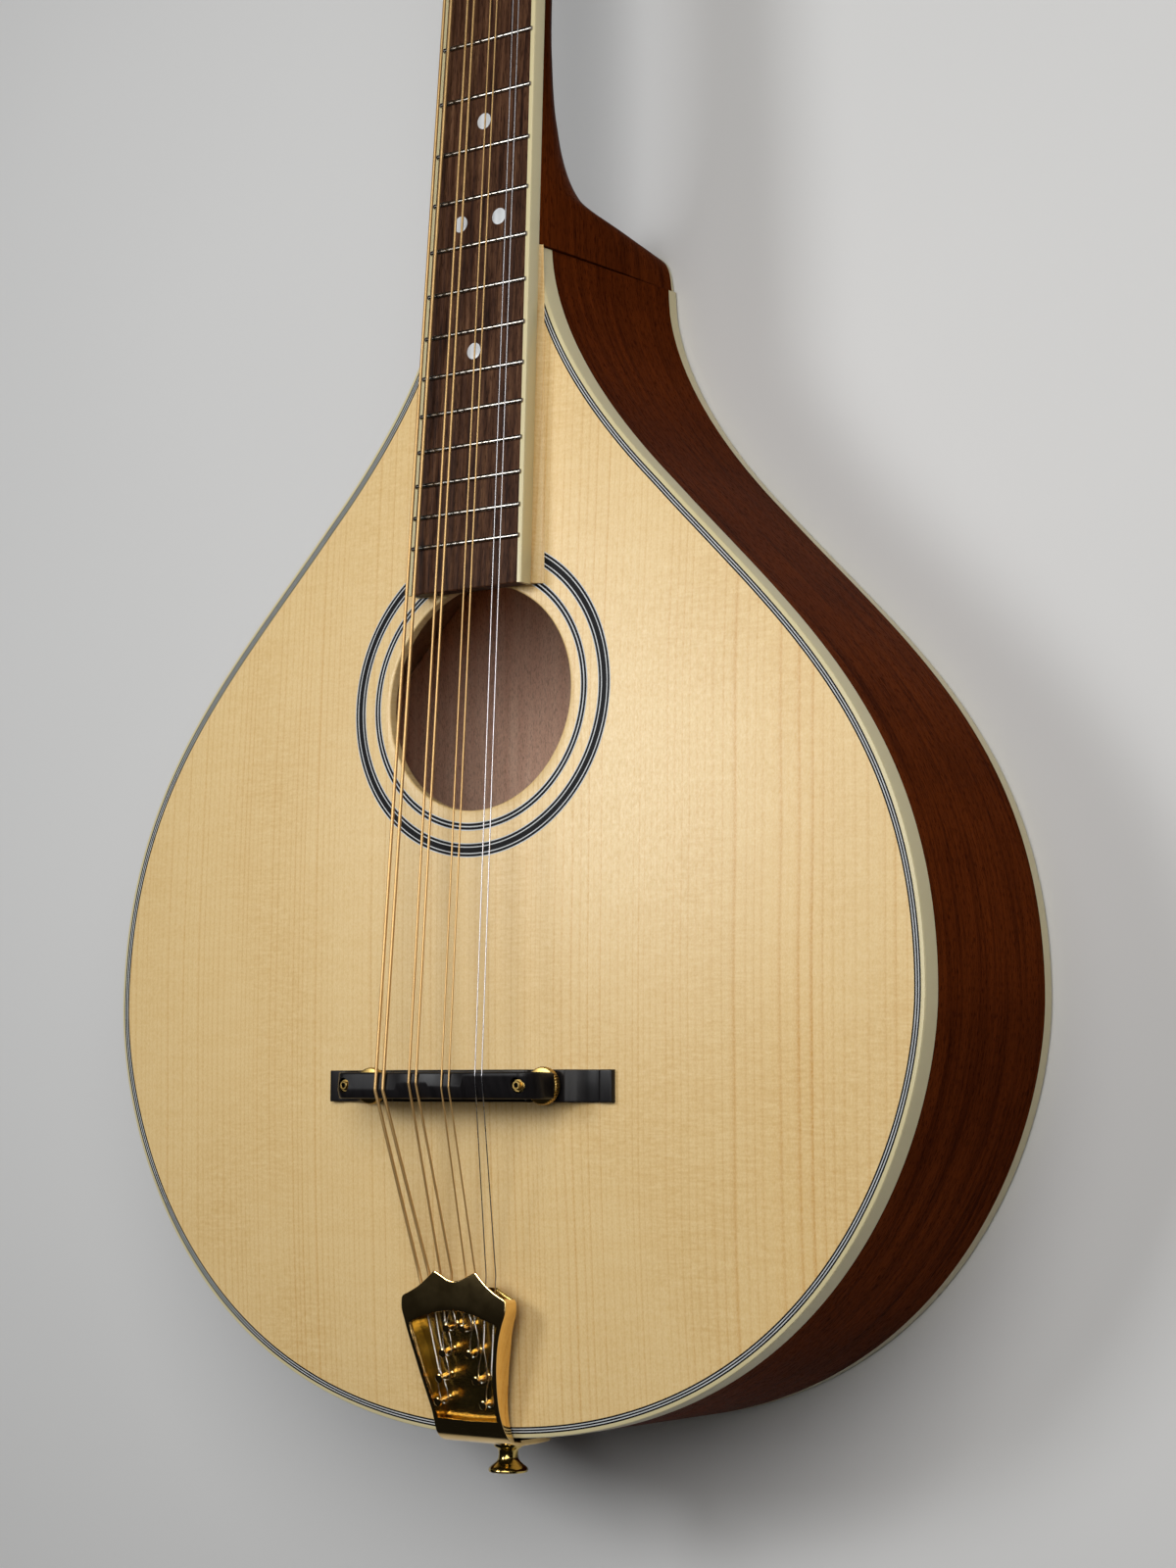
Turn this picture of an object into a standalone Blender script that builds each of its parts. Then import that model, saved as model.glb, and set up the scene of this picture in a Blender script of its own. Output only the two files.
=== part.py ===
"""Octave mandolin, teardrop body, four double courses.

Built in millimetres in a working frame whose X points to the treble side, Y
from the string line at the saddle (Y = 0) towards the nut and Z out of the
top, with Z = 0 on the edge of the soundboard.  Everything is shifted at the
end so that the instrument lies on its back with the floor at Z = 0 and the
origin under the middle of its length.
"""
import bpy
import math
import numpy as np
from mathutils import Vector, Matrix

for ob in list(bpy.data.objects):
    bpy.data.objects.remove(ob, do_unlink=True)

# ------------------------------------------------------------------ sizes, mm
SCALE = 514.35            # string length, nut to saddle
N_FRETS = 20
DEPTH = 76.7              # rim: top edge to back face
GAP = 0.3                 # glue line / running gap between solids
TOP_T = 3.0               # soundboard thickness
BACK_T = 3.0
RIM_T = 2.2
BIND_W = 2.2              # width of the edge binding strip
BIND_TOP_H = 7.1
BIND_BACK_H = 4.9
PLATE_IN = BIND_W + GAP   # plates start this far inside the outline
LINING_IN = 8.0
DOME = 6.0                # rise of the arched soundboard
DOME_Y = 30.0             # highest point
HOLE_Y, HOLE_R = 115.0, 34.8
ROS_IN = (38.4, 41.1)     # inlaid rings round the hole
ROS_OUT = (44.7, 49.5)
JOINT_Y, JOINT_LEAN = 255.2, 0.042   # seam between heel and body
PLANE0, PLANE_S = 20.94, 0.054       # plane over the frets: z = P0 - s*y
FRET_H, BOARD_T = 1.0, 5.0
BOARD_END = 147.5
EDGE0, EDGE_S = 23.49, 0.020         # half width at the fret ends
FB_BIND = 1.4
NUT_Y1 = 519.4
HEAD_Y0, HEAD_LEN, HEAD_T = 519.6, 150.0, 13.0
HEAD_ANG = math.atan(PLANE_S) + math.radians(12.0)
VENEER_T = 1.5
POST_X, POST_U = 17.0, (40.0, 63.0, 86.0, 109.0)
POST_R, WORM_OFF = 3.0, 8.8
BR_X, BR_Y, BR_POST_X = -1.15, -3.2, 32.7     # middle of the bridge, post spacing
SADDLE_TOP, SADDLE_BOT = 25.4, 13.2
PITCH = 0.7               # bridge post thread, rise per turn
ENDPIN_Z = -14.5
END_Y = -119.0            # face of the end pin
TIP_Y = HEAD_Y0 + (HEAD_LEN - 0.4) * math.cos(HEAD_ANG) + (VENEER_T + GAP) * math.sin(HEAD_ANG)
YC = 0.5 * (END_Y + TIP_Y)

STRING_D = {"g1": 1.15, "g2": 1.15, "d1": 0.85, "d2": 0.85,
            "a1": 0.58, "a2": 0.58, "e1": 0.36, "e2": 0.36}
NUT_X = {"g1": -13.1, "g2": -10.4, "d1": -5.4, "d2": -2.85,
         "a1": 2.1, "a2": 4.5, "e1": 9.1, "e2": 11.1}
SADDLE_X = {"g1": -20.5, "g2": -17.55, "d1": -7.75, "d2": -5.0,
            "a1": 4.5, "a2": 7.25, "e1": 16.95, "e2": 19.5}
SADDLE_Y = {"g": -4.4, "d": -2.4, "a": -3.5, "e": -0.4}
TAIL_X = {"g1": -15.4, "g2": -11.6, "d1": -7.0, "d2": -2.7,
          "a1": 2.7, "a2": 6.3, "e1": 10.4, "e2": 14.0}
# hook rows on the tailpiece: x, y, tip height, loop height
HOOKS = ((3.0, -74.8, 13.0, 10.2), (4.95, -82.2, 12.2, 9.2),
         (6.9, -89.8, 11.2, 7.6), (8.5, -96.9, 9.6, 5.9))
HOOK_OF = {"g1": (-1, 3), "g2": (-1, 2), "d1": (-1, 1), "d2": (-1, 0),
           "a1": (1, 0), "a2": (1, 1), "e1": (1, 2), "e2": (1, 3)}
POST_OF = {"g1": (-1, 0), "g2": (-1, 1), "d1": (-1, 2), "d2": (-1, 3),
           "a1": (1, 3), "a2": (1, 2), "e1": (1, 1), "e2": (1, 0)}

# ------------------------------------------------------------------ materials
COLS = {
    "spruce": ((0.76, 0.58, 0.33), 0.25, 0.0),
    "mahogany": ((0.085, 0.022, 0.008), 0.25, 0.0),
    "inner_wood": ((0.45, 0.30, 0.18), 0.7, 0.0),
    "cream": ((0.62, 0.55, 0.36), 0.3, 0.0),
    "rosewood": ((0.09, 0.04, 0.022), 0.5, 0.0),
    "ebony": ((0.012, 0.011, 0.012), 0.35, 0.0),
    "gold": ((0.83, 0.53, 0.16), 0.15, 1.0),
    "bronze": ((0.70, 0.42, 0.20), 0.3, 1.0),
    "steel": ((0.62, 0.62, 0.63), 0.25, 1.0),
    "bone": ((0.78, 0.74, 0.62), 0.4, 0.0),
    "black_white": ((0.06, 0.06, 0.06), 0.3, 0.0),
}


def material(kind, node):
    col, rough, metal = COLS[kind]
    m = bpy.data.materials.new(node + "_" + kind)
    m.use_nodes = True
    b = m.node_tree.nodes["Principled BSDF"]
    b.inputs["Base Color"].default_value = (*col, 1.0)
    b.inputs["Roughness"].default_value = rough
    b.inputs["Metallic"].default_value = metal
    return m


# ------------------------------------------------------------------ mesh tools
def to_m(v):
    """Working millimetres to model metres."""
    return (v[0] * 0.001, (v[1] - YC) * 0.001, (v[2] + DEPTH) * 0.001)


def new_object(name, verts, faces, kind=None, smooth=None, origin=None):
    mesh = bpy.data.meshes.new(name)
    o = Vector(to_m(origin)) if origin is not None else Vector((0, 0, 0))
    mesh.from_pydata([tuple(Vector(to_m(v)) - o) for v in verts], [], faces)
    mesh.update()
    ob = bpy.data.objects.new(name, mesh)
    ob.location = o
    bpy.context.scene.collection.objects.link(ob)
    if kind:
        mesh.materials.append(material(kind, name))
    if smooth:
        mesh.shade_smooth()
        mesh.set_sharp_from_angle(angle=math.radians(smooth))
    return ob


def fix_normals(ob):
    """Turn the faces out: the signed volume of a closed mesh is positive."""
    import bmesh
    bm = bmesh.new()
    bm.from_mesh(ob.data)
    bmesh.ops.recalc_face_normals(bm, faces=bm.faces)
    if bm.calc_volume(signed=True) < 0:
        bmesh.ops.reverse_faces(bm, faces=bm.faces)
    bm.to_mesh(ob.data)
    bm.free()


def loft(name, loops, kind=None, closed=False, smooth=None, origin=None):
    """Skin a list of equally long closed loops; caps, or a closed ring of loops."""
    n = len(loops[0])
    verts = [tuple(map(float, v)) for lp in loops for v in lp]
    faces = []
    m = len(loops)
    for i in range(m if closed else m - 1):
        a, b = i * n, ((i + 1) % m) * n
        for j in range(n):
            k = (j + 1) % n
            faces.append((a + j, a + k, b + k, b + j))
    if not closed:
        faces.append(tuple(range(n))[::-1])
        faces.append(tuple((m - 1) * n + j for j in range(n)))
    ob = new_object(name, verts, faces, kind, smooth, origin)
    fix_normals(ob)
    return ob


def prism_z(name, pts, z0, z1, kind=None, smooth=None):
    return loft(name, [[(x, y, z0) for x, y in pts], [(x, y, z1) for x, y in pts]], kind, smooth=smooth)


def prism_x(name, pts, x0, x1, kind=None):
    """Side profile of (y, z) points, extruded across."""
    return loft(name, [[(x0, y, z) for y, z in pts], [(x1, y, z) for y, z in pts]], kind)


def cylinder(name, p0, p1, r, n=24, kind=None, smooth=None, r1=None):
    p0, p1 = Vector(p0), Vector(p1)
    q = (p1 - p0).to_track_quat('Z', 'Y')
    loops = []
    for p, rr in ((p0, r), (p1, r if r1 is None else r1)):
        loops.append([p + q @ Vector((rr * math.cos(2 * math.pi * k / n), rr * math.sin(2 * math.pi * k / n), 0))
                      for k in range(n)])
    return loft(name, loops, kind, smooth=smooth)


def boolean(ob, others, op):
    """Join to or cut from ob, exactly, and clear the tools away."""
    for c in others:
        c.hide_render = True
        c.display_type = 'WIRE'
        mod = ob.modifiers.new(op.lower(), 'BOOLEAN')
        mod.operation = op
        mod.solver = 'EXACT'
        mod.object = c
    bpy.context.view_layer.update()
    deps = bpy.context.evaluated_depsgraph_get()
    mesh = bpy.data.meshes.new_from_object(ob.evaluated_get(deps))
    ob.modifiers.clear()
    ob.data = mesh
    for c in others:
        bpy.data.objects.remove(c, do_unlink=True)
    return ob


def smooth_by_angle(ob, deg=35):
    ob.data.shade_smooth()
    ob.data.set_sharp_from_angle(angle=math.radians(deg))


def rename(ob, name, kind, smooth=None):
    ob.name = name
    ob.data.name = name
    ob.data.materials.clear()
    ob.data.materials.append(material(kind, name))
    if smooth:
        smooth_by_angle(ob, smooth)
    return ob


# ------------------------------------------------------------------ outline
def bezier(p, n):
    t = np.linspace(0, 1, n)[:, None]
    p = np.array(p, float)
    return (1 - t) ** 3 * p[0] + 3 * (1 - t) ** 2 * t * p[1] + 3 * (1 - t) * t * t * p[2] + t ** 3 * p[3]


BODY = np.vstack([
    bezier([(0, -107.2), (115, -107.2), (152.4, -22.3), (152.4, 24.3)], 160),
    bezier([(152.4, 24.3), (152.4, 97.3), (108.5, 131.0), (66.0, 175.5)], 160)[1:],
    bezier([(66.0, 175.5), (59.2, 182.7), (19.8, 220.0), (18.6, 256.2)], 120)[1:],
    np.array([(18.55, 259.0), (18.5, 263.0)]),
])


def joint_y(z):
    return JOINT_Y - JOINT_LEAN * z


N_EDGE = 28               # stations round each half of the body


def stations(inset, x0=0.0):
    """Treble half of the body outline moved inwards, from the tail (x = x0)
    to y = 250 beside the neck.  Every inset uses the same stations, so that
    neighbouring strips stay parallel."""
    d = np.gradient(BODY, axis=0)
    nrm = np.c_[-d[:, 1], d[:, 0]]
    nrm /= np.linalg.norm(nrm, axis=1)[:, None]
    s = np.r_[0, np.cumsum(np.linalg.norm(np.diff(BODY, axis=0), axis=1))]
    q = np.linspace(0, np.interp(250.0, BODY[:, 1], s), N_EDGE + 1)
    p = np.c_[np.interp(q, s, BODY[:, 0]) + inset * np.interp(q, s, nrm[:, 0]),
              np.interp(q, s, BODY[:, 1]) + inset * np.interp(q, s, nrm[:, 1])]
    p[0, 0] = x0
    return p


def at_joint(x, y, y_end):
    return x - (y_end - y) * 0.02, y_end


def outline_loop(inset, y_end):
    h = stations(inset)
    h[-1] = at_joint(h[-1, 0], h[-1, 1], y_end)
    left = h[1:][::-1] * np.array([-1, 1])
    return np.vstack([h, left])


POLAR = BODY[BODY[:, 1] <= 256.0]
POLAR_A = np.arctan2(POLAR[:, 1] - DOME_Y, POLAR[:, 0])
POLAR_R = np.hypot(POLAR[:, 0], POLAR[:, 1] - DOME_Y)


def dome(x, y):
    """Height of the arched soundboard above its edge."""
    a = math.atan2(y - DOME_Y, abs(x))
    r = math.hypot(x, y - DOME_Y)
    rho = min(1.0, r / float(np.interp(a, POLAR_A, POLAR_R)))
    return DOME * (1.0 - rho * rho)


def plane(y):
    return PLANE0 - PLANE_S * y


def half_w(y):
    return EDGE0 - EDGE_S * y


# ------------------------------------------------------------------ soundbox
def band(name, out, inn, zb, zt, y_end, kind, side=0, smooth=30):
    """A strip along the rim between two insets; side 0 goes all the way round,
    +1 or -1 is one half that stops at the tail seam."""
    x0 = 0.0 if side == 0 else GAP / 2
    ho, hi = stations(out, x0), stations(inn, x0)
    n = N_EDGE if y_end > 249 else int(np.sum(ho[:, 1] <= y_end)) - 1

    def station(i, s):
        res = []
        for (x, y), zf in ((ho[i], zt), (ho[i], zb), (hi[i], zb), (hi[i], zt)):
            z = zf(x, y)
            if i == N_EDGE:
                x, y = at_joint(x, y, joint_y(z) - GAP)
            res.append((s * x, y, z))
        return res
    if side == 0:
        loops = [station(i, -1) for i in range(n, 0, -1)] + [station(i, 1) for i in range(0, n + 1)]
    else:
        loops = [station(i, side) for i in range(0, n + 1)]
    return loft(name, loops, kind, smooth=smooth)


edge = outline_loop(PLATE_IN, joint_y(0) - GAP)
ang = np.arctan2(edge[:, 1] - HOLE_Y, edge[:, 0])


def circle_ring(r, dz):
    return [(r * math.cos(a), HOLE_Y + r * math.sin(a),
             dome(r * math.cos(a), HOLE_Y + r * math.sin(a)) + dz) for a in ang]


def blend_ring(f, dz, r0):
    res = []
    for (x, y), a in zip(edge, ang):
        cx, cy = r0 * math.cos(a), HOLE_Y + r0 * math.sin(a)
        px, py = cx + f * (x - cx), cy + f * (y - cy)
        res.append((px, py, dome(px, py) + dz))
    return res


G_IN = (ROS_IN[0] - GAP, ROS_IN[1] + GAP)
G_OUT = (ROS_OUT[0] - GAP, ROS_OUT[1] + GAP)
FR = (0.18, 0.4, 0.62, 0.82, 1.0)
rings = [circle_ring(HOLE_R, 0), circle_ring(G_IN[0], 0), circle_ring(G_IN[0], -1.6), circle_ring(G_IN[1], -1.6),
         circle_ring(G_IN[1], 0), circle_ring(G_OUT[0], 0), circle_ring(G_OUT[0], -1.6), circle_ring(G_OUT[1], -1.6),
         circle_ring(G_OUT[1], 0)]
rings += [blend_ring(f, 0, G_OUT[1]) for f in FR]
rings += [blend_ring(f, -TOP_T, G_OUT[1]) for f in FR[::-1]]
rings += [circle_ring(G_OUT[1], -TOP_T), circle_ring(HOLE_R, -TOP_T)]
loft("top_plate", rings, "spruce", closed=True, smooth=25)
for nm, (r0, r1) in (("rosette_inner", ROS_IN), ("rosette_outer", ROS_OUT)):
    loft(nm, [circle_ring(r0, 0), circle_ring(r1, 0), circle_ring(r1, -1.3), circle_ring(r0, -1.3)],
         "black_white", closed=True, smooth=25)

back_edge = outline_loop(PLATE_IN, joint_y(-DEPTH) - GAP)
prism_z("back_plate", back_edge, -DEPTH, -DEPTH + BACK_T, "mahogany")

rim_lo, rim_hi = -DEPTH + BIND_BACK_H + GAP, -BIND_TOP_H - GAP
for side, nm in ((-1, "rim_bass"), (1, "rim_treble")):
    rim = band(nm, 0.0, RIM_T, lambda x, y: rim_lo, lambda x, y: rim_hi, 250.0, "mahogany", side)
    boolean(rim, [cylinder("cut", (0, -120, ENDPIN_Z), (0, -90, ENDPIN_Z), 3.4, 20)], 'DIFFERENCE')
    smooth_by_angle(rim, 30)
band("top_binding", 0.0, BIND_W, lambda x, y: -BIND_TOP_H, lambda x, y: 0.0, 250.0, "cream")
band("back_binding", 0.0, BIND_W, lambda x, y: -DEPTH + 0.2, lambda x, y: -DEPTH + BIND_BACK_H, 250.0, "cream")
lin = band("top_lining", PLATE_IN, LINING_IN, lambda x, y: -17.0, lambda x, y: dome(x, y) - TOP_T - GAP,
           213.0, "inner_wood")
boolean(lin, [cylinder("cut", (0, -120, ENDPIN_Z), (0, -90, ENDPIN_Z), 3.4, 20)], 'DIFFERENCE')
band("back_lining", PLATE_IN, LINING_IN, lambda x, y: -DEPTH + BACK_T + GAP, lambda x, y: -DEPTH + 17.0,
     213.0, "inner_wood")


def block_poly(inset, y1=None, tail=False):
    p = stations(inset)
    if tail:
        right = [tuple(q) for q in p if q[0] <= 36.0 and q[1] < 0.0]
        right.append((right[-1][0], y1))
        return right + [(-x, y) for x, y in right[::-1]][:-1]
    right = [tuple(q) for q in p if q[1] >= 215.0]
    return right + [(-x, y) for x, y in right[::-1]]


# neck block: its outer face leans with the heel seam
poly = block_poly(PLATE_IN)
y_max = max(y for x, y in poly)
loops = []
for z in (-DEPTH + BACK_T + GAP, -TOP_T - GAP):
    row = []
    for x, y in poly:
        if y_max - y < 0.5:
            ax, y = at_joint(abs(x), y, joint_y(z) - GAP)
            x = math.copysign(ax, x)
        row.append((x, y, z))
    loops.append(row)
nb = loft("neck_block", loops, "inner_wood")
ROD_Z0, ROD_SL = -7.5, 0.0423


def rod_z(y):
    return ROD_Z0 - ROD_SL * (y - 254.0)


boolean(nb, [cylinder("cut", (0, 205, rod_z(205)), (0, 270, rod_z(270)), 3.1, 20)], 'DIFFERENCE')

tb = prism_z("tail_block", block_poly(LINING_IN + GAP, -78.0, tail=True), -DEPTH + BACK_T + GAP, -TOP_T - GAP,
             "inner_wood")
boolean(tb, [prism_z("add", block_poly(PLATE_IN, -79.0, tail=True), -DEPTH + 17.0 + GAP, -17.0 - GAP)], 'UNION')
boolean(tb, [cylinder("cut", (0, -120, ENDPIN_Z), (0, -70, ENDPIN_Z), 3.4, 20)], 'DIFFERENCE')


def top_brace(name, y, half, h_mid, h_end, w=8.0, n=12):
    loops = []
    for i in range(n + 1):
        x = -half + 2 * half * i / n
        e = (1 - abs(x) / half)
        h = h_end + (h_mid - h_end) * min(1.0, e * 3.0)
        z = [dome(x, y - w / 2) - TOP_T - GAP, dome(x, y + w / 2) - TOP_T - GAP]
        zb = min(z) - h
        loops.append([(x, y - w / 2, z[0]), (x, y + w / 2, z[1]), (x, y + w / 4, zb), (x, y - w / 4, zb)])
    loft(name, loops, "spruce")


top_brace("top_brace_upper", 182.0, 44.0, 9.0, 4.0)
top_brace("top_brace_lower", 48.0, 139.0, 12.0, 4.0, n=16)


def back_brace(name, y, half, h_mid, h_end, w=9.0):
    z0 = -DEPTH + BACK_T + GAP
    pts = [(-half, h_end), (-half * 0.72, h_mid), (half * 0.72, h_mid), (half, h_end)]
    loops = [[(x, y - w / 2, z0), (x, y + w / 2, z0), (x, y + w / 4, z0 + h), (x, y - w / 4, z0 + h)] for x, h in pts]
    loft(name, loops, "spruce")


back_brace("back_brace_upper", 180.0, 44.0, 12.0, 5.0)
back_brace("back_brace_lower", 40.0, 136.0, 15.0, 5.0)


# ------------------------------------------------------------------ neck
def neck_top(y):
    """Gluing face under the board, then the face of the head."""
    if y <= HEAD_Y0:
        return plane(y) - FRET_H - BOARD_T - GAP
    return neck_top(HEAD_Y0) - (y - HEAD_Y0) * math.tan(HEAD_ANG) - 0.3


# depth of the neck under its gluing face: (y, depth); the heel is a scoop
# that would run on deeper and is cut off flat above its cap
SCOOP = ((257.0, 138.0), (262.0, 130.0), (265.0, 120.5), (267.5, 108.5), (269.5, 96.0), (271.0, 84.0), (272.5, 71.0),
         (274.0, 55.0), (276.0, 42.3), (278.5, 36.1), (281.5, 31.7), (285.0, 28.1), (290.0, 24.4), (296.0, 21.4),
         (304.0, 17.8), (316.0, 14.8), (332.0, 12.8), (380.0, 12.9), (430.0, 13.1), (480.0, 13.4), (519.0, 13.6),
         (531.0, 10.9))
HEEL_Z = -75.3


def neck_half(y):
    w = half_w(y) + FB_BIND
    if y > 514:
        w = half_w(514) + FB_BIND
    return w


def section(y, first=False, n=12):
    """Cross-section of the neck: flat on top, rounded behind, flat under the heel."""
    zt = neck_top(y)
    depth = float(np.interp(y, [p[0] for p in SCOOP], [p[1] for p in SCOOP]))
    w = neck_half(y)
    top = zt - 0.25
    room = top - HEEL_Z
    e = 2.0 + 0.35 * max(0.0, min(1.0, (depth - 20.0) / 40.0))
    cut_off = depth > room
    last = math.asin((room / depth) ** (e / 2)) if cut_off else math.pi / 2 * n / (n + 1)
    pts = [(w, zt), (w, top)]
    for k in range(1, n + 1):
        a = last * k / n
        pts.append((w * math.cos(a) ** (2 / e), top - depth * math.sin(a) ** (2 / e)))
    pts.append((0.0, HEEL_Z if cut_off else top - depth))
    full = pts + [(-x, z) for x, z in pts[:-1][::-1]]
    return [(x, joint_y(z) if first else y, z) for x, z in full]


stations = [section(257.0, True)]
for y in (259.0, 261.5, 264.0, 266.3, 268.3, 269.8, 271.0, 271.9, 272.7, 273.6, 274.6, 276.0, 278.2, 281.2, 285.0, 290.0, 296.0,
          304.0, 315.0, 332.0, 365.0, 405.0, 445.0, 485.0, 519.0, 531.0):
    stations.append(section(y))
neck = loft("neck", stations, "mahogany")


def head(u, x, n):
    """Point in the head's own frame: u along, x across, n out of its face."""
    z0 = plane(HEAD_Y0) - FRET_H - BOARD_T - GAP
    return (x, HEAD_Y0 + u * math.cos(HEAD_ANG) + n * math.sin(HEAD_ANG),
            z0 - u * math.sin(HEAD_ANG) + n * math.cos(HEAD_ANG))


HEAD_SHAPE = ((0, 14.1), (7, 15.0), (15, 19.5), (23, 26.6), (31, 29.6), (45, 29.9), (80, 28.9), (112, 28.0),
              (127, 27.2), (137, 23.5), (143, 15.0), (146.5, 8.0), (150, 0.0))


def head_outline(inset=0.0, u_min=0.0):
    u = np.array([p[0] for p in HEAD_SHAPE], float)
    w = np.array([p[1] for p in HEAD_SHAPE], float)
    t = np.arange(len(u))
    tt = np.linspace(0, len(u) - 1, 34)
    # Catmull-Rom through the stations
    out = []
    for a in tt:
        i = min(int(a), len(u) - 2)
        f = a - i
        p = [np.array([u[max(0, min(len(u) - 1, k))], w[max(0, min(len(u) - 1, k))]]) for k in (i - 1, i, i + 1, i + 2)]
        if i == len(u) - 2:
            p[3] = 2 * p[2] - p[1]
        v = 0.5 * ((2 * p[1]) + (p[2] - p[0]) * f + (2 * p[0] - 5 * p[1] + 4 * p[2] - p[3]) * f * f
                   + (3 * p[1] - p[0] - 3 * p[2] + p[3]) * f ** 3)
        out.append(v)
    out = np.array(out)
    out[-1, 1] = 0.0
    out[:, 0] = np.clip(out[:, 0], u_min, HEAD_LEN - inset)
    out[:, 1] = np.clip(out[:, 1] - inset, 0, None)
    keep = [0]
    for i in range(1, len(out)):
        if np.linalg.norm(out[i] - out[keep[-1]]) > 0.4:
            keep.append(i)
    out = out[keep]
    right = [(a, b) for a, b in out]
    if right[-1][1] > 0.01:
        right.append((HEAD_LEN - inset, 0.0))
    left = [(a, -b) for a, b in right[:-1][::-1]]
    return right + left


ho = head_outline()
slab = loft("slab", [[head(u, x, -HEAD_T) for u, x in ho], [head(u, x, 0) for u, x in ho]])
boolean(neck, [slab], 'UNION')
cuts = [cylinder("cut", head(u, sx * POST_X, -30), head(u, sx * POST_X, 20), POST_R + 0.6, 16)
        for sx in (-1, 1) for u in POST_U]
boolean(neck, cuts, 'DIFFERENCE')
slot = prism_x("cut", [(250, rod_z(250) - 2.9), (502, rod_z(502) - 2.9), (502, 12), (250, 12)], -3.1, 3.1)
boolean(neck, [slot], 'DIFFERENCE')
rename(neck, "neck", "mahogany", 35)

vo = head_outline(0.4, 1.2)
ven = loft("veneer", [[head(u, x, GAP) for u, x in vo], [head(u, x, GAP + VENEER_T) for u, x in vo]])
cuts = [cylinder("cut", head(u, sx * POST_X, -30), head(u, sx * POST_X, 20), POST_R + 0.6, 16)
        for sx in (-1, 1) for u in POST_U]
boolean(ven, cuts, 'DIFFERENCE')
rename(ven, "headstock_veneer", "ebony")

# heel cap: thin rounded plate under the heel
CAP = ((17.5, 259.3), (17.1, 262.0), (16.6, 264.5), (15.7, 267.0), (14.3, 269.0), (12.2, 270.7), (9.2, 272.0),
       (5.2, 272.9), (0.0, 273.2))
cap = [(17.55, joint_y(-DEPTH) + GAP)] + list(CAP) + [(-x, y) for x, y in CAP[-2::-1]] + [(-17.55, joint_y(-DEPTH) + GAP)]
prism_z("heel_cap", cap, -DEPTH + 0.1, HEEL_Z - GAP, "cream")

# truss rod with its nut just inside the sound hole
cylinder("truss_rod", (0, 206, rod_z(206)), (0, 500, rod_z(500)), 2.5, 14, "steel", 40)
rod_dir = Vector((0, 1, -ROD_SL)).normalized()
p0 = Vector((0, 203.0, rod_z(203.0)))
p1 = p0 + rod_dir * 10.0
nut = cylinder("truss_rod_nut", p0, p1, 4.0, 6, "steel")
boolean(nut, [cylinder("cut", p0 - rod_dir * 3, p1 + rod_dir * 3, 2.8, 14)], 'DIFFERENCE')
rename(nut, "truss_rod_nut", "steel")

# ------------------------------------------------------------------ fretboard
board_w = lambda y: half_w(y) - GAP
loops = []
for y in (BOARD_END, SCALE - GAP):
    w = board_w(y)
    loops.append([(w, y, plane(y) - FRET_H), (-w, y, plane(y) - FRET_H),
                  (-w, y, plane(y) - FRET_H - BOARD_T), (w, y, plane(y) - FRET_H - BOARD_T)])
board = loft("fretboard", loops, "rosewood")
frets = []
for k in range(1, N_FRETS + 1):
    y = SCALE * 2 ** (-k / 12)
    w = board_w(y) - 0.05
    sec = [(-1.0, -0.5), (-1.0, 0.25), (-0.5, 0.85), (0.0, FRET_H), (0.5, 0.85), (1.0, 0.25), (1.0, -0.5)]
    z0 = plane(y) - FRET_H
    frets.append(loft("fret", [[(-w, y + a, z0 + b) for a, b in sec], [(w, y + a, z0 + b) for a, b in sec]]))
boolean(board, frets, 'UNION')
rename(board, "fretboard", "rosewood")
for sx, nm in ((-1, "bass"), (1, "treble")):
    loops = []
    for y in (BOARD_END, SCALE - GAP):
        w = half_w(y)
        z1, z0 = plane(y) - FRET_H, plane(y) - FRET_H - BOARD_T
        loops.append([(sx * w, y, z1), (sx * (w + FB_BIND), y, z1), (sx * (w + FB_BIND), y, z0), (sx * w, y, z0)])
    loft("fretboard_binding_" + nm, loops, "cream")

# wedge between the board's extension and the arched top
loops = []
for i in range(13):
    y = BOARD_END + 0.6 + (JOINT_Y - 0.9 - BOARD_END) * i / 12
    f = i / 12
    zt = plane(y) - FRET_H - BOARD_T - GAP
    w = half_w(y) + FB_BIND
    flare = 2.6 - 1.7 * f
    wb = w + flare
    bot = [(x, y, min(dome(x, y) + GAP, zt - 0.25)) for x in np.linspace(wb, -wb, 11)]
    loops.append([(-w, y, zt), (w, y, zt)] + bot)
loft("fretboard_riser", loops, "spruce")

# nut
zt = neck_top(516.0)
w = half_w(SCALE) + FB_BIND - 0.3
loops = []
for y, dz in ((SCALE, 0.45), (SCALE + 2.0, 0.55), (NUT_Y1, -0.6)):
    loops.append([(w, y, plane(SCALE) + dz), (-w, y, plane(SCALE) + dz), (-w, y, neck_top(y) + GAP), (w, y, neck_top(y) + GAP)])
loft("nut", loops, "bone")

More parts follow.
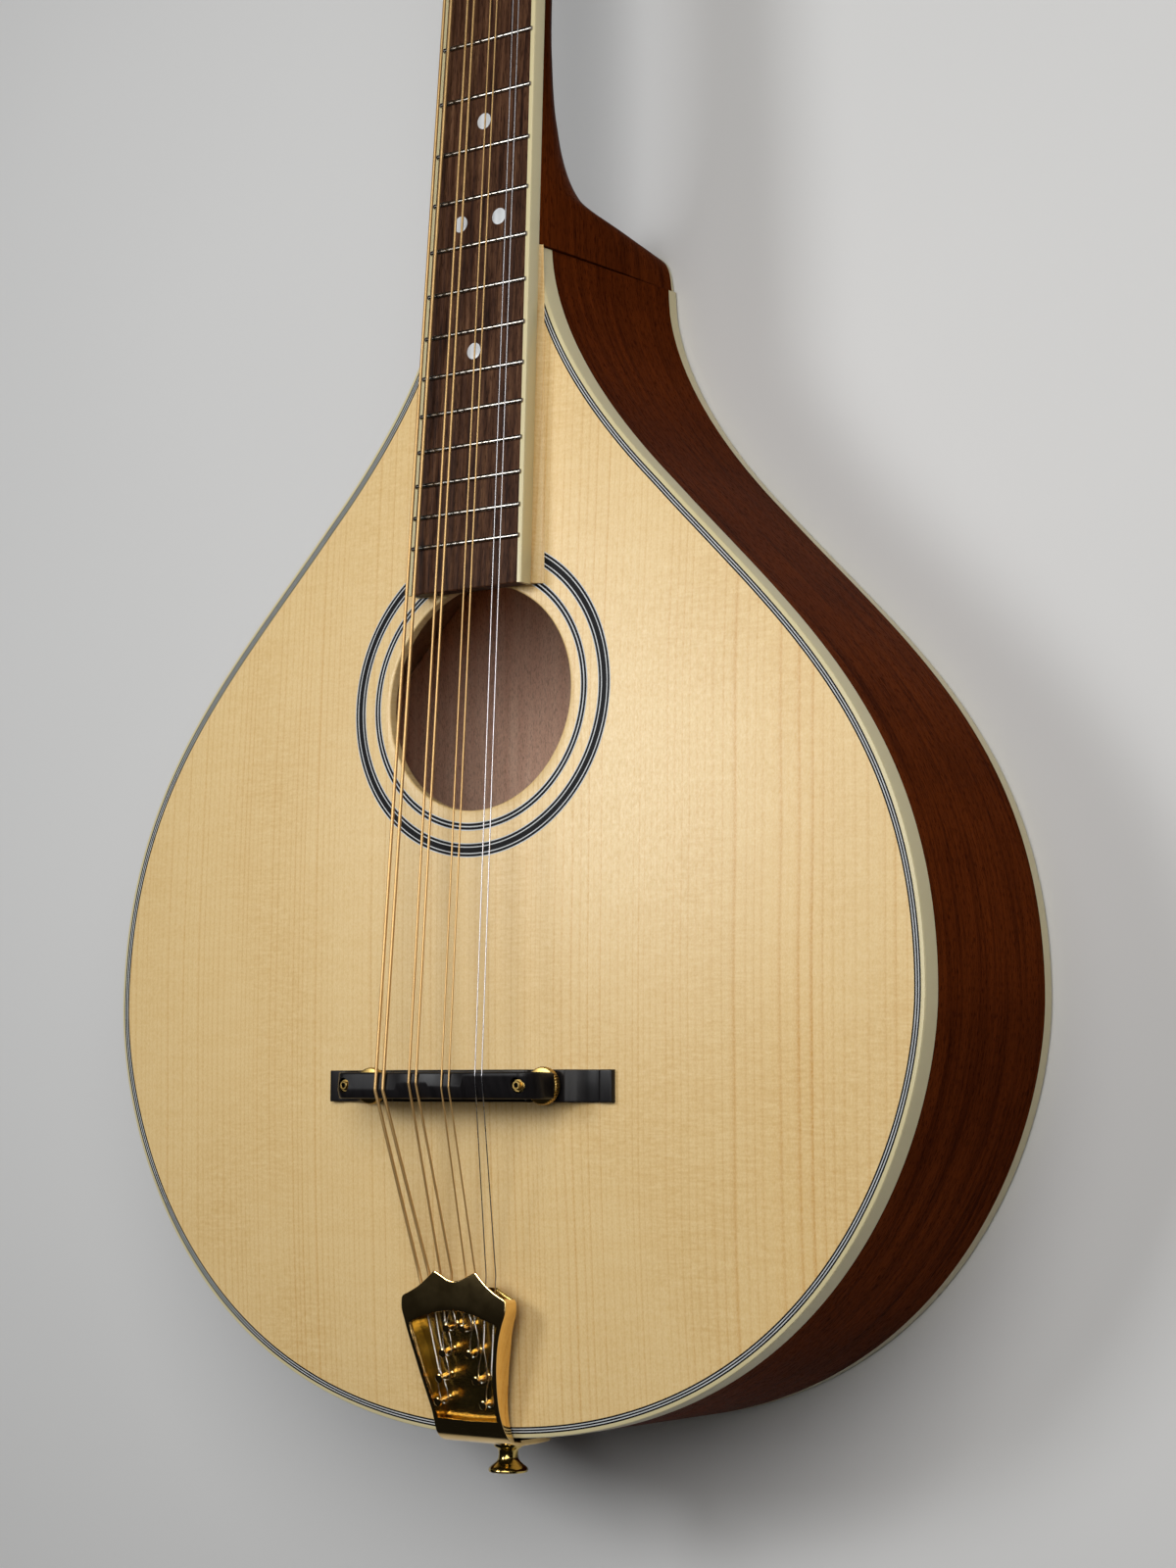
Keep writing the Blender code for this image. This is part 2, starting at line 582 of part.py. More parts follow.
# ------------------------------------------------------------------ bridge
y0, y1 = BR_Y - 4.8, BR_Y + 4.8
prof = [(0, 10.7), (25.0, 10.7), (26.6, 9.2), (38.6, 9.2), (40.0, 8.4), (42.0, 7.3), (44.5, 6.6), (47.5, 6.35),
        (50.0, 6.35), (50.2, 6.8), (53.7, 6.8)]
prof = [(-x, z) for x, z in prof[:0:-1]] + prof
loops = []
for x, z in [(BR_X + x, z) for x, z in prof]:
    loops.append([(x, y0, z), (x, y1, z), (x, y1, dome(x, y1) + GAP), (x, y0, dome(x, y0) + GAP)])
base = loft("bridge_base", loops, "ebony")
POSTS = (BR_X - BR_POST_X, BR_X + BR_POST_X)
boolean(base, [cylinder("cut", (x, BR_Y, 6.9), (x, BR_Y, 20), 2.2, 20) for x in POSTS],
        'DIFFERENCE')
rename(base, "bridge_base", "ebony")

def saddle_break(x):
    """Where the crown of the saddle stands under each course."""
    return float(np.interp(x, [-12.6, -11.6, -0.5, 0.5, 12.4, 13.4],
                           [SADDLE_Y["g"], SADDLE_Y["d"], SADDLE_Y["d"], SADDLE_Y["a"], SADDLE_Y["a"], SADDLE_Y["e"]]))


loops = []
y0, y1 = BR_Y - 3.9, BR_Y + 3.9
for x in (-38.0, -37.3, -35.6, -33.0, -22.0, -12.6, -11.6, -0.5, 0.5, 12.4, 13.4, 22.0, 33.0, 35.6, 37.3, 38.0):
    c = saddle_break(x)
    e = max(0.0, abs(x) - 33.0) / 5.0
    top = SADDLE_TOP - 5.2 * e * e
    bot = SADDLE_BOT + (0.8 if abs(x) > 37.5 else 0.0)
    x += BR_X
    loops.append([(x, y0, bot), (x, y1, bot), (x, y1, top - 0.085 * (y1 - c)), (x, c + 0.35, top), (x, c - 0.35, top),
                  (x, y0, top - 0.36 * (c - 0.35 - y0))])
sad = loft("bridge_saddle", loops, "ebony")
boolean(sad, [cylinder("cut", (x, BR_Y, 5), (x, BR_Y, 40), 2.3, 20) for x in POSTS],
        'DIFFERENCE')
rename(sad, "bridge_saddle", "ebony", 30)
for x, nm in zip(POSTS, ("bass", "treble")):
    cylinder("bridge_post_" + nm, (x, BR_Y, 7.3), (x, BR_Y, SADDLE_TOP - 0.35), 1.9, 16, "gold", 40)
    ring = []
    n = 20
    for r, z in ((2.2, 10.65), (5.3, 10.65), (5.6, 10.95), (5.6, 12.55), (5.3, 12.85), (2.2, 12.85)):
        ring.append([(x + r * math.cos(2 * math.pi * k / n), BR_Y + r * math.sin(2 * math.pi * k / n), z)
                     for k in range(n)])
    loft("thumbwheel_" + nm, ring, "gold", closed=True, smooth=30, origin=(x, BR_Y, 11.75))

# ------------------------------------------------------------------ tailpiece
TP_TOP = ((-55.0, 12.3), (-60.0, 12.9), (-66.0, 13.4), (-72.0, 13.6), (-77.0, 13.3), (-82.0, 12.4), (-88.0, 10.9),
          (-94.0, 9.0), (-100.0, 6.7), (-104.0, 5.0), (-106.6, 3.4), (-108.6, 0.9), (-109.4, -2.2), (-109.4, -4.0))
TP_LOW = ((-55.0, 7.2), (-66.0, 7.1), (-75.0, 6.4), (-83.0, 4.8), (-91.5, 3.1), (-101.0, 1.6), (-106.0, 1.1),
          (-107.8, 0.4), (-107.8, -4.0))


def tp_half():
    """Treble half of the plan: scoop, horn, shoulder, waist, flared end."""
    return [(0, -60.8), (2.6, -60.2), (5.2, -59.0), (7.7, -58.0), (9.6, -59.6), (13.0, -62.4), (16.6, -64.4),
            (19.2, -65.6), (19.7, -66.8), (19.5, -69.5), (18.3, -73.0), (16.9, -77.5), (15.6, -82.6),
            (14.5, -88.0), (13.5, -94.0), (12.8, -99.0), (13.0, -103.0), (13.4, -106.0), (13.6, -112.0)]


def tp_plan(inset=0.0, front=0.0):
    h = tp_half()
    pts = [(max(0.0, x - inset) if x > 0 else 0.0, y + (front if y > -66 else 0.0)) for x, y in h]
    left = [(-x, y) for x, y in pts[1:][::-1]]
    return left + pts


outer = prism_z("tailpiece", tp_plan(), -4.0, 30.0)
side = [(y, z) for y, z in TP_TOP] + [(y, z) for y, z in TP_LOW[::-1]]
boolean(outer, [prism_x("cut", side, -30, 30)], 'INTERSECT')
wall, roof, floor = 1.4, 1.3, 1.0
core_side = [(y, z - roof) for y, z in TP_TOP[:10]] + [(-104.6, 3.0), (-104.6, 2.7)]
low = [(y, z + floor) for y, z in TP_LOW[:6]]
core_side += [(-104.6, 2.45)] + low[::-1]
core_side = [(y + (6.0 if y > -56 else 0), z) for y, z in core_side]
core = prism_z("core", tp_plan(wall, 6.0), -6.0, 30.0)
boolean(core, [prism_x("cut", core_side, -30, 30)], 'INTERSECT')
boolean(outer, [core], 'DIFFERENCE')
# arched window
WIN_SIDE = ((11.2, -102.0), (11.1, -99.0), (11.8, -94.0), (12.8, -88.0), (13.6, -84.0), (15.3, -77.0), (16.4, -73.4))
win = list(WIN_SIDE)
for k in range(1, 8):
    a = k / 8
    win.append((16.4 - 32.8 * a, -73.4 + 3.9 * math.sin(math.pi * a)))
win += [(-x, y) for x, y in WIN_SIDE[::-1]]
roof_cut = [(y, z - roof - 0.5) for y, z in TP_TOP[:10]] + [(-104, 30), (-55, 30)]
wcut = prism_z("wcut", win, 0.0, 29.0)
boolean(wcut, [prism_x("cut", roof_cut, -28, 28)], 'INTERSECT')
boolean(outer, [wcut], 'DIFFERENCE')
# hanger plate down the end of the body, hooks on the floor
hang = [(-13.6, -3.0), (13.6, -3.0), (13.2, -14.0), (11.5, -21.0), (7.0, -26.0), (0.0, -27.5), (-7.0, -26.0),
        (-11.5, -21.0), (-13.2, -14.0)]
hanger = loft("hang", [[(x, -109.4, z) for x, z in hang], [(x, -107.8, z) for x, z in hang]])
boolean(outer, [hanger], 'UNION')


def low_z(y):
    p = sorted(TP_LOW[:7])
    return float(np.interp(y, [a for a, b in p], [b for a, b in p]))


pins = []
for sx in (-1, 1):
    for x, y, zt, zl in HOOKS:
        pins.append(cylinder("pin", (sx * x, y + 1.1, low_z(y + 1.1) + 0.4), (sx * x, y, zt), 0.9, 10))
boolean(outer, pins, 'UNION')
boolean(outer, [cylinder("cut", (0, -125, ENDPIN_Z), (0, -100, ENDPIN_Z), 3.4, 20)], 'DIFFERENCE')
rename(outer, "tailpiece", "gold", 30)

# end pin: tapered shank in the tail block, turned head
prof = [(-92.0, 2.4), (-104.0, 3.0), (-109.7, 3.0), (-109.9, 4.3), (-111.4, 4.4), (-112.4, 3.1), (-114.6, 3.0),
        (-116.4, 4.3), (-117.4, 5.6), (-118.4, 5.8), (END_Y, 5.3)]
ring = [[(r * math.cos(2 * math.pi * k / 20), y, ENDPIN_Z + r * math.sin(2 * math.pi * k / 20)) for k in range(20)]
        for y, r in prof]
loft("end_pin", ring, "gold", smooth=35)

# ------------------------------------------------------------------ tuners
for sx, nm in ((-1, "bass"), (1, "treble")):
    def hbox(name, u0, u1, x0, x1, n0, n1):
        c = [(x0, u0), (x1, u0), (x1, u1), (x0, u1)]
        return loft(name, [[head(u, sx * x, n0) for x, u in c], [head(u, sx * x, n1) for x, u in c]])
    nb0 = -HEAD_T - GAP
    plate = hbox("plate", 25.0, 116.0, 7.0, 25.5, nb0 - 1.0, nb0)
    ears = []
    for u in POST_U:
        uw = u - WORM_OFF
        for xa in (7.8, 21.6):
            ears.append(hbox("ear", uw - 2.9, uw + 2.9, xa, xa + 1.3, nb0 - 6.4, nb0 - 0.5))
    boolean(plate, ears, 'UNION')
    cuts = []
    for u in POST_U:
        cuts.append(cylinder("cut", head(u, sx * POST_X, -30), head(u, sx * POST_X, 0), POST_R + 0.4, 16))
        cuts.append(cylinder("cut", head(u - WORM_OFF, sx * 5.0, nb0 - 3.7), head(u - WORM_OFF, sx * 30.0, nb0 - 3.7),
                             1.8, 14))
    boolean(plate, cuts, 'DIFFERENCE')
    rename(plate, "tuner_plate_" + nm, "gold")

axis_n = Vector((0, math.sin(HEAD_ANG), math.cos(HEAD_ANG)))
axis_u = Vector((0, math.cos(HEAD_ANG), -math.sin(HEAD_ANG)))
num = 0
for sx in (-1, 1):
    for u in POST_U:
        num += 1
        nw = -HEAD_T - GAP - 3.7
        # worm shaft with its button, turning about X
        prof = [(7.2, 1.5), (9.6, 1.5), (9.9, 2.4), (20.8, 2.4), (21.1, 1.5), (31.6, 1.5), (32.4, 2.6), (34.2, 5.0),
                (38.0, 6.2), (42.5, 6.0), (45.8, 4.4), (47.4, 2.0)]
        c = Vector(head(u - WORM_OFF, 0, nw))
        ring = []
        n = 12
        for x, r in prof:
            flat = 0.66 if x > 33 else 1.0
            ring.append([c + Vector((sx * x, 0, 0)) + axis_u * (r * math.cos(2 * math.pi * k / n))
                         + axis_n * (flat * r * math.sin(2 * math.pi * k / n)) for k in range(n)])
        loft("tuner_knob_%d" % num, ring, "gold", smooth=40, origin=tuple(c + Vector((sx * 21.0, 0, 0))))
        # post and gear, turning about the head's normal
        prof = [(nw - 3.6, 2.0), (nw - 2.1, 2.2), (nw - 2.0, 6.0), (nw + 2.0, 6.0), (nw + 2.05, POST_R),
                (VENEER_T + 3.5, POST_R), (VENEER_T + 5.0, 2.5), (VENEER_T + 9.0, 2.5), (VENEER_T + 10.5, POST_R),
                (VENEER_T + 13.0, POST_R), (VENEER_T + 13.6, 2.3)]
        c = Vector(head(u, sx * POST_X, 0))
        ring = []
        n = 12
        for h, r in prof:
            ring.append([c + axis_n * h + Vector((1, 0, 0)) * (r * math.cos(2 * math.pi * k / n))
                         + axis_u * (r * math.sin(2 * math.pi * k / n)) for k in range(n)])
        loft("string_post_%d" % num, ring, "gold", smooth=35, origin=tuple(c))

# ------------------------------------------------------------------ strings
def smooth_corner(pts, r, m=4):
    """Round the inner corners of a path with short arcs."""
    pts = [Vector(p) for p in pts]
    out = [pts[0]]
    for i in range(1, len(pts) - 1):
        a, b, c = pts[i - 1], pts[i], pts[i + 1]
        u, v = (a - b), (c - b)
        k = min(r, u.length * 0.4, v.length * 0.4)
        p, q = b + u.normalized() * k, b + v.normalized() * k
        for j in range(m + 1):
            t = j / m
            out.append(p * (1 - t) ** 2 + b * 2 * t * (1 - t) + q * t * t)
    out.append(pts[-1])
    return out


def string_path(key):
    r = STRING_D[key] / 2
    course = key[0]
    sx, row = POST_OF[key]
    post = Vector(head(POST_U[row], sx * POST_X, 0))
    wrap_r = 2.5 + r + GAP
    h0 = VENEER_T + 7.6
    # winding: leaves the post on its inner side, one and a quarter turns down the post
    pts = []
    turns = 11
    for k in range(turns, -1, -1):
        a = 2 * math.pi * 1.15 * k / turns
        h = h0 - (STRING_D[key] + GAP) * 1.15 * k / turns
        pts.append(post + axis_n * h + Vector((1, 0, 0)) * (-sx * wrap_r * math.cos(a)) + axis_u * (wrap_r * math.sin(a)))
    nut_z = plane(SCALE) + 0.55 + GAP + r
    c_y = SADDLE_Y[course]
    sz = SADDLE_TOP + GAP + r
    hs, hr = HOOK_OF[key]
    hx, hy, htip, hz = HOOKS[hr]
    core = [pts[-1], (NUT_X[key], SCALE + 2.4, nut_z), (NUT_X[key], SCALE - 0.2, nut_z),
            (SADDLE_X[key], c_y + 0.6, sz), (SADDLE_X[key], c_y - 0.6, sz)]
    front = (TAIL_X[key], -57.0, 11.0 - r)
    ring_r = 0.9 + r + GAP
    foot = low_z(hy + 1.1) + 0.4
    hy += 1.1 * (1.0 - (hz - foot) / (htip - foot))
    out_x = hs * (hx + ring_r)
    core += [front, (out_x, hy + 1.2, hz), (out_x, hy, hz)]
    body = smooth_corner(core, 1.4, 2)
    loop = [Vector((hs * hx + hs * ring_r * math.cos(a), hy - ring_r * math.sin(a), hz))
            for a in np.linspace(0, math.pi, 6)[1:]]
    loop.append(loop[-1] + Vector((0, 2.2, 0)))
    return pts[:-1] + body + loop


for key in STRING_D:
    path = string_path(key)
    cu = bpy.data.curves.new("string_" + key, 'CURVE')
    cu.dimensions = '3D'
    sp = cu.splines.new('POLY')
    sp.points.add(len(path) - 1)
    for p, v in zip(sp.points, path):
        p.co = (*to_m(v), 1.0)
    cu.bevel_depth = STRING_D[key] * 0.0005
    cu.bevel_resolution = 2
    cu.use_fill_caps = True
    cu.materials.append(material("steel" if key[0] == "e" else "bronze", "string_" + key))
    ob = bpy.data.objects.new("string_" + key, cu)
    bpy.context.scene.collection.objects.link(ob)
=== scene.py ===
import bmesh
import bpy
import math
import numpy as np
from mathutils import Vector, Matrix


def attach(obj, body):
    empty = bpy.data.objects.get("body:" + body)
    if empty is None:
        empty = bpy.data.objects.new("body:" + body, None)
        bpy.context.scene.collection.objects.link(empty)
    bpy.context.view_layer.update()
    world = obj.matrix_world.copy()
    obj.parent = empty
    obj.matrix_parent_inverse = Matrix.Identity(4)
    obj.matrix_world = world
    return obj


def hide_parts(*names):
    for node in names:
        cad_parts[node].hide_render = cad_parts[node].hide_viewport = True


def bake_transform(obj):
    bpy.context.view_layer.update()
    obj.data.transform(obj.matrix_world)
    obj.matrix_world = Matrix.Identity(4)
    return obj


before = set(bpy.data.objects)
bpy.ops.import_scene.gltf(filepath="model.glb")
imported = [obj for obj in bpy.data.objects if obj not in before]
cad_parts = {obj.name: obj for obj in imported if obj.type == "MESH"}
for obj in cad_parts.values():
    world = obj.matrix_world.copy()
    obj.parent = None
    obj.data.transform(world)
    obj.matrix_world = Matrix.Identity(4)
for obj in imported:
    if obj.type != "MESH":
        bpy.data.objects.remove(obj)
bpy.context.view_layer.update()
ROOT = "instrument"

# ------------------------------------------------------------------ frame sizes, mm
# working frame: X to the treble side, Y from the saddle to the nut, Z out of the
# top with 0 on its edge; to_m() turns it into the model's metres
SCALE = 514.35
DEPTH = 76.7
DOME, DOME_Y = 6.0, 30.0
HOLE_Y, HOLE_R = 115.0, 34.8
JOINT_Y, JOINT_LEAN = 255.2, 0.042
PLANE0, PLANE_S = 20.94, 0.054
FRET_H, BOARD_T = 1.0, 5.0
BOARD_END = 147.5
EDGE0, EDGE_S = 23.49, 0.020
FB_BIND = 1.4
NUT_Y1 = 519.4
HEAD_Y0, HEAD_LEN, HEAD_T, VENEER_T = 519.6, 150.0, 13.0, 1.5
HEAD_ANG = math.atan(PLANE_S) + math.radians(12.0)
TIP_Y = HEAD_Y0 + (HEAD_LEN - 0.4) * math.cos(HEAD_ANG) + 1.8 * math.sin(HEAD_ANG)
YC = 0.5 * (-119.0 + TIP_Y)
POST_X, POST_U, POST_R, WORM_OFF = 17.0, (40.0, 63.0, 86.0, 109.0), 3.0, 8.8
BR_X, BR_Y, BR_POST_X = -1.15, -3.2, 32.7
SADDLE_TOP, SADDLE_BOT = 25.4, 13.2
HEEL_Z = -75.3
ENDPIN_Z = -14.5
STRING_D = {"g1": 1.15, "g2": 1.15, "d1": 0.85, "d2": 0.85,
            "a1": 0.58, "a2": 0.58, "e1": 0.36, "e2": 0.36}
NUT_X = {"g1": -13.1, "g2": -10.4, "d1": -5.4, "d2": -2.85,
         "a1": 2.1, "a2": 4.5, "e1": 9.1, "e2": 11.1}
SADDLE_X = {"g1": -20.5, "g2": -17.55, "d1": -7.75, "d2": -5.0,
            "a1": 4.5, "a2": 7.25, "e1": 16.95, "e2": 19.5}
SADDLE_Y = {"g": -4.4, "d": -2.4, "a": -3.5, "e": -0.4}
TAIL_X = {"g1": -15.4, "g2": -11.6, "d1": -7.0, "d2": -2.7,
          "a1": 2.7, "a2": 6.3, "e1": 10.4, "e2": 14.0}
HOOKS = ((3.0, -74.8, 13.0, 10.2), (4.95, -82.2, 12.2, 9.2),
         (6.9, -89.8, 11.2, 7.6), (8.5, -96.9, 9.6, 5.9))
HOOK_OF = {"g1": (-1, 3), "g2": (-1, 2), "d1": (-1, 1), "d2": (-1, 0),
           "a1": (1, 0), "a2": (1, 1), "e1": (1, 2), "e2": (1, 3)}
POST_OF = {"g1": (-1, 0), "g2": (-1, 1), "d1": (-1, 2), "d2": (-1, 3),
           "a1": (1, 3), "a2": (1, 2), "e1": (1, 1), "e2": (1, 0)}


def to_m(v):
    return (v[0] * 0.001, (v[1] - YC) * 0.001, (v[2] + DEPTH) * 0.001)


def bezier(p, n):
    t = np.linspace(0, 1, n)[:, None]
    p = np.array(p, float)
    return (1 - t) ** 3 * p[0] + 3 * (1 - t) ** 2 * t * p[1] + 3 * (1 - t) * t * t * p[2] + t ** 3 * p[3]


def curve(points, n):
    """Smooth curve through the points, n samples to each span."""
    p = [np.array(q, float) for q in points]
    p = [2 * p[0] - p[1]] + p + [2 * p[-1] - p[-2]]
    out = []
    for i in range(1, len(p) - 2):
        for f in np.linspace(0, 1, n, endpoint=False):
            out.append(0.5 * ((2 * p[i]) + (p[i + 1] - p[i - 1]) * f
                              + (2 * p[i - 1] - 5 * p[i] + 4 * p[i + 1] - p[i + 2]) * f * f
                              + (3 * p[i] - p[i - 1] - 3 * p[i + 1] + p[i + 2]) * f ** 3))
    out.append(p[-2])
    return np.array(out)


BODY = np.vstack([
    bezier([(0, -107.2), (115, -107.2), (152.4, -22.3), (152.4, 24.3)], 160),
    bezier([(152.4, 24.3), (152.4, 97.3), (108.5, 131.0), (66.0, 175.5)], 160)[1:],
    bezier([(66.0, 175.5), (59.2, 182.7), (19.8, 220.0), (18.6, 256.2)], 120)[1:],
    np.array([(18.55, 259.0), (18.5, 263.0)]),
])
POLAR = BODY[BODY[:, 1] <= 256.0]
POLAR_A = np.arctan2(POLAR[:, 1] - DOME_Y, POLAR[:, 0])
POLAR_R = np.hypot(POLAR[:, 0], POLAR[:, 1] - DOME_Y)


def dome(x, y):
    a = math.atan2(y - DOME_Y, abs(x))
    r = math.hypot(x, y - DOME_Y)
    rho = min(1.0, r / float(np.interp(a, POLAR_A, POLAR_R)))
    return DOME * (1.0 - rho * rho)


def plane(y):
    return PLANE0 - PLANE_S * y


def half_w(y):
    return EDGE0 - EDGE_S * y


def joint_y(z):
    return JOINT_Y - JOINT_LEAN * z


def edge_line(inset, n=180, z=0.0):
    """Treble half of the outline moved inwards, tail to heel seam."""
    d = np.gradient(BODY, axis=0)
    nrm = np.c_[-d[:, 1], d[:, 0]]
    nrm /= np.linalg.norm(nrm, axis=1)[:, None]
    s = np.r_[0, np.cumsum(np.linalg.norm(np.diff(BODY, axis=0), axis=1))]
    q = np.linspace(0, np.interp(joint_y(z) - 0.3, BODY[:, 1], s), n + 1)
    p = np.c_[np.interp(q, s, BODY[:, 0]) + inset * np.interp(q, s, nrm[:, 0]),
              np.interp(q, s, BODY[:, 1]) + inset * np.interp(q, s, nrm[:, 1])]
    p[0, 0] = 0.0
    return p


def head(u, x, n):
    """Point in the head's own frame: u along, x across, n out of its face."""
    z0 = plane(HEAD_Y0) - FRET_H - BOARD_T - 0.3
    return (x, HEAD_Y0 + u * math.cos(HEAD_ANG) + n * math.sin(HEAD_ANG),
            z0 - u * math.sin(HEAD_ANG) + n * math.cos(HEAD_ANG))


AX_N = Vector((0, math.sin(HEAD_ANG), math.cos(HEAD_ANG)))
AX_U = Vector((0, math.cos(HEAD_ANG), -math.sin(HEAD_ANG)))
AX_X = Vector((1, 0, 0))


# ------------------------------------------------------------------ node helpers
class Mat:
    def __init__(self, name):
        self.m = bpy.data.materials.new(name)
        self.m.use_nodes = True
        self.nt = self.m.node_tree
        self.b = self.nt.nodes["Principled BSDF"]
        self.tc = self.nt.nodes.new("ShaderNodeTexCoord")

    def put(self, **kw):
        for k, v in kw.items():
            self.b.inputs[k.replace("_", " ")].default_value = v
        return self

    def link(self, a, b):
        self.nt.links.new(a, b)

    def coords(self, sx, sy, sz, rot=(0, 0, 0)):
        mp = self.nt.nodes.new("ShaderNodeMapping")
        mp.inputs["Scale"].default_value = (sx, sy, sz)
        mp.inputs["Rotation"].default_value = rot
        self.link(self.tc.outputs["Object"], mp.inputs["Vector"])
        return mp.outputs["Vector"]

    def axis(self, vec, i):
        s = self.nt.nodes.new("ShaderNodeSeparateXYZ")
        self.link(vec, s.inputs[0])
        return s.outputs[i]

    def noise(self, vec, scale=1.0, detail=3.0, rough=0.5, dist=0.0):
        n = self.nt.nodes.new("ShaderNodeTexNoise")
        n.inputs["Scale"].default_value = scale
        n.inputs["Detail"].default_value = detail
        n.inputs["Roughness"].default_value = rough
        n.inputs["Distortion"].default_value = dist
        self.link(vec, n.inputs["Vector"])
        return n.outputs["Fac"]

    def wave(self, vec, scale, dist=0.0, dscale=1.0, direction="X", profile="SIN"):
        w = self.nt.nodes.new("ShaderNodeTexWave")
        w.bands_direction = direction
        w.wave_profile = profile
        w.inputs["Scale"].default_value = scale
        w.inputs["Distortion"].default_value = dist
        w.inputs["Detail"].default_value = 2.0
        w.inputs["Detail Scale"].default_value = dscale
        self.link(vec, w.inputs["Vector"])
        return w.outputs["Fac"]

    def ramp(self, fac, stops):
        r = self.nt.nodes.new("ShaderNodeValToRGB")
        e = r.color_ramp.elements
        while len(e) > 1:
            e.remove(e[-1])
        e[0].position, e[0].color = stops[0][0], (*stops[0][1], 1)
        for p, c in stops[1:]:
            x = e.new(p)
            x.color = (*c, 1)
        self.link(fac, r.inputs["Fac"])
        return r.outputs["Color"]

    def grey(self, fac, stops):
        """Ramp between plain values, for use as a factor."""
        return self.ramp(fac, [(p, (v, v, v)) for p, v in stops])

    def mix(self, a, b, fac, mode="MIX"):
        m = self.nt.nodes.new("ShaderNodeMix")
        m.data_type = "RGBA"
        m.blend_type = mode
        for sock, v in ((m.inputs[0], fac), (m.inputs[6], a), (m.inputs[7], b)):
            if hasattr(v, "links"):
                self.link(v, sock)
            else:
                sock.default_value = v if isinstance(v, (int, float)) else (*v, 1)
        return m.outputs[2]

    def mathn(self, op, a, b=0.5, clamp=False):
        m = self.nt.nodes.new("ShaderNodeMath")
        m.operation = op
        m.use_clamp = clamp
        for sock, v in ((m.inputs[0], a), (m.inputs[1], b)):
            if hasattr(v, "links"):
                self.link(v, sock)
            else:
                sock.default_value = v
        return m.outputs[0]

    def span(self, fac, lo, hi):
        r = self.nt.nodes.new("ShaderNodeMapRange")
        r.inputs["To Min"].default_value = lo
        r.inputs["To Max"].default_value = hi
        self.link(fac, r.inputs["Value"])
        return r.outputs["Result"]

    def chance(self, w):
        """A steady random number for each whole value."""
        n = self.nt.nodes.new("ShaderNodeTexWhiteNoise")
        n.noise_dimensions = "1D"
        self.link(w, n.inputs["W"])
        return n.outputs["Value"]

    def tint(self, c, fac, by):
        """Multiplies c towards the colour 'by' as fac goes to 1."""
        return self.mix(c, by, fac, "MULTIPLY")

    def color(self, c):
        self.link(c, self.b.inputs["Base Color"])
        return self

    def rough(self, fac, lo, hi):
        self.link(self.span(fac, lo, hi), self.b.inputs["Roughness"])
        return self

    def bump(self, fac, dist, strength=0.5):
        bp = self.nt.nodes.new("ShaderNodeBump")
        bp.inputs["Strength"].default_value = strength
        bp.inputs["Distance"].default_value = dist
        self.link(fac, bp.inputs["Height"])
        self.link(bp.outputs["Normal"], self.b.inputs["Normal"])
        return self


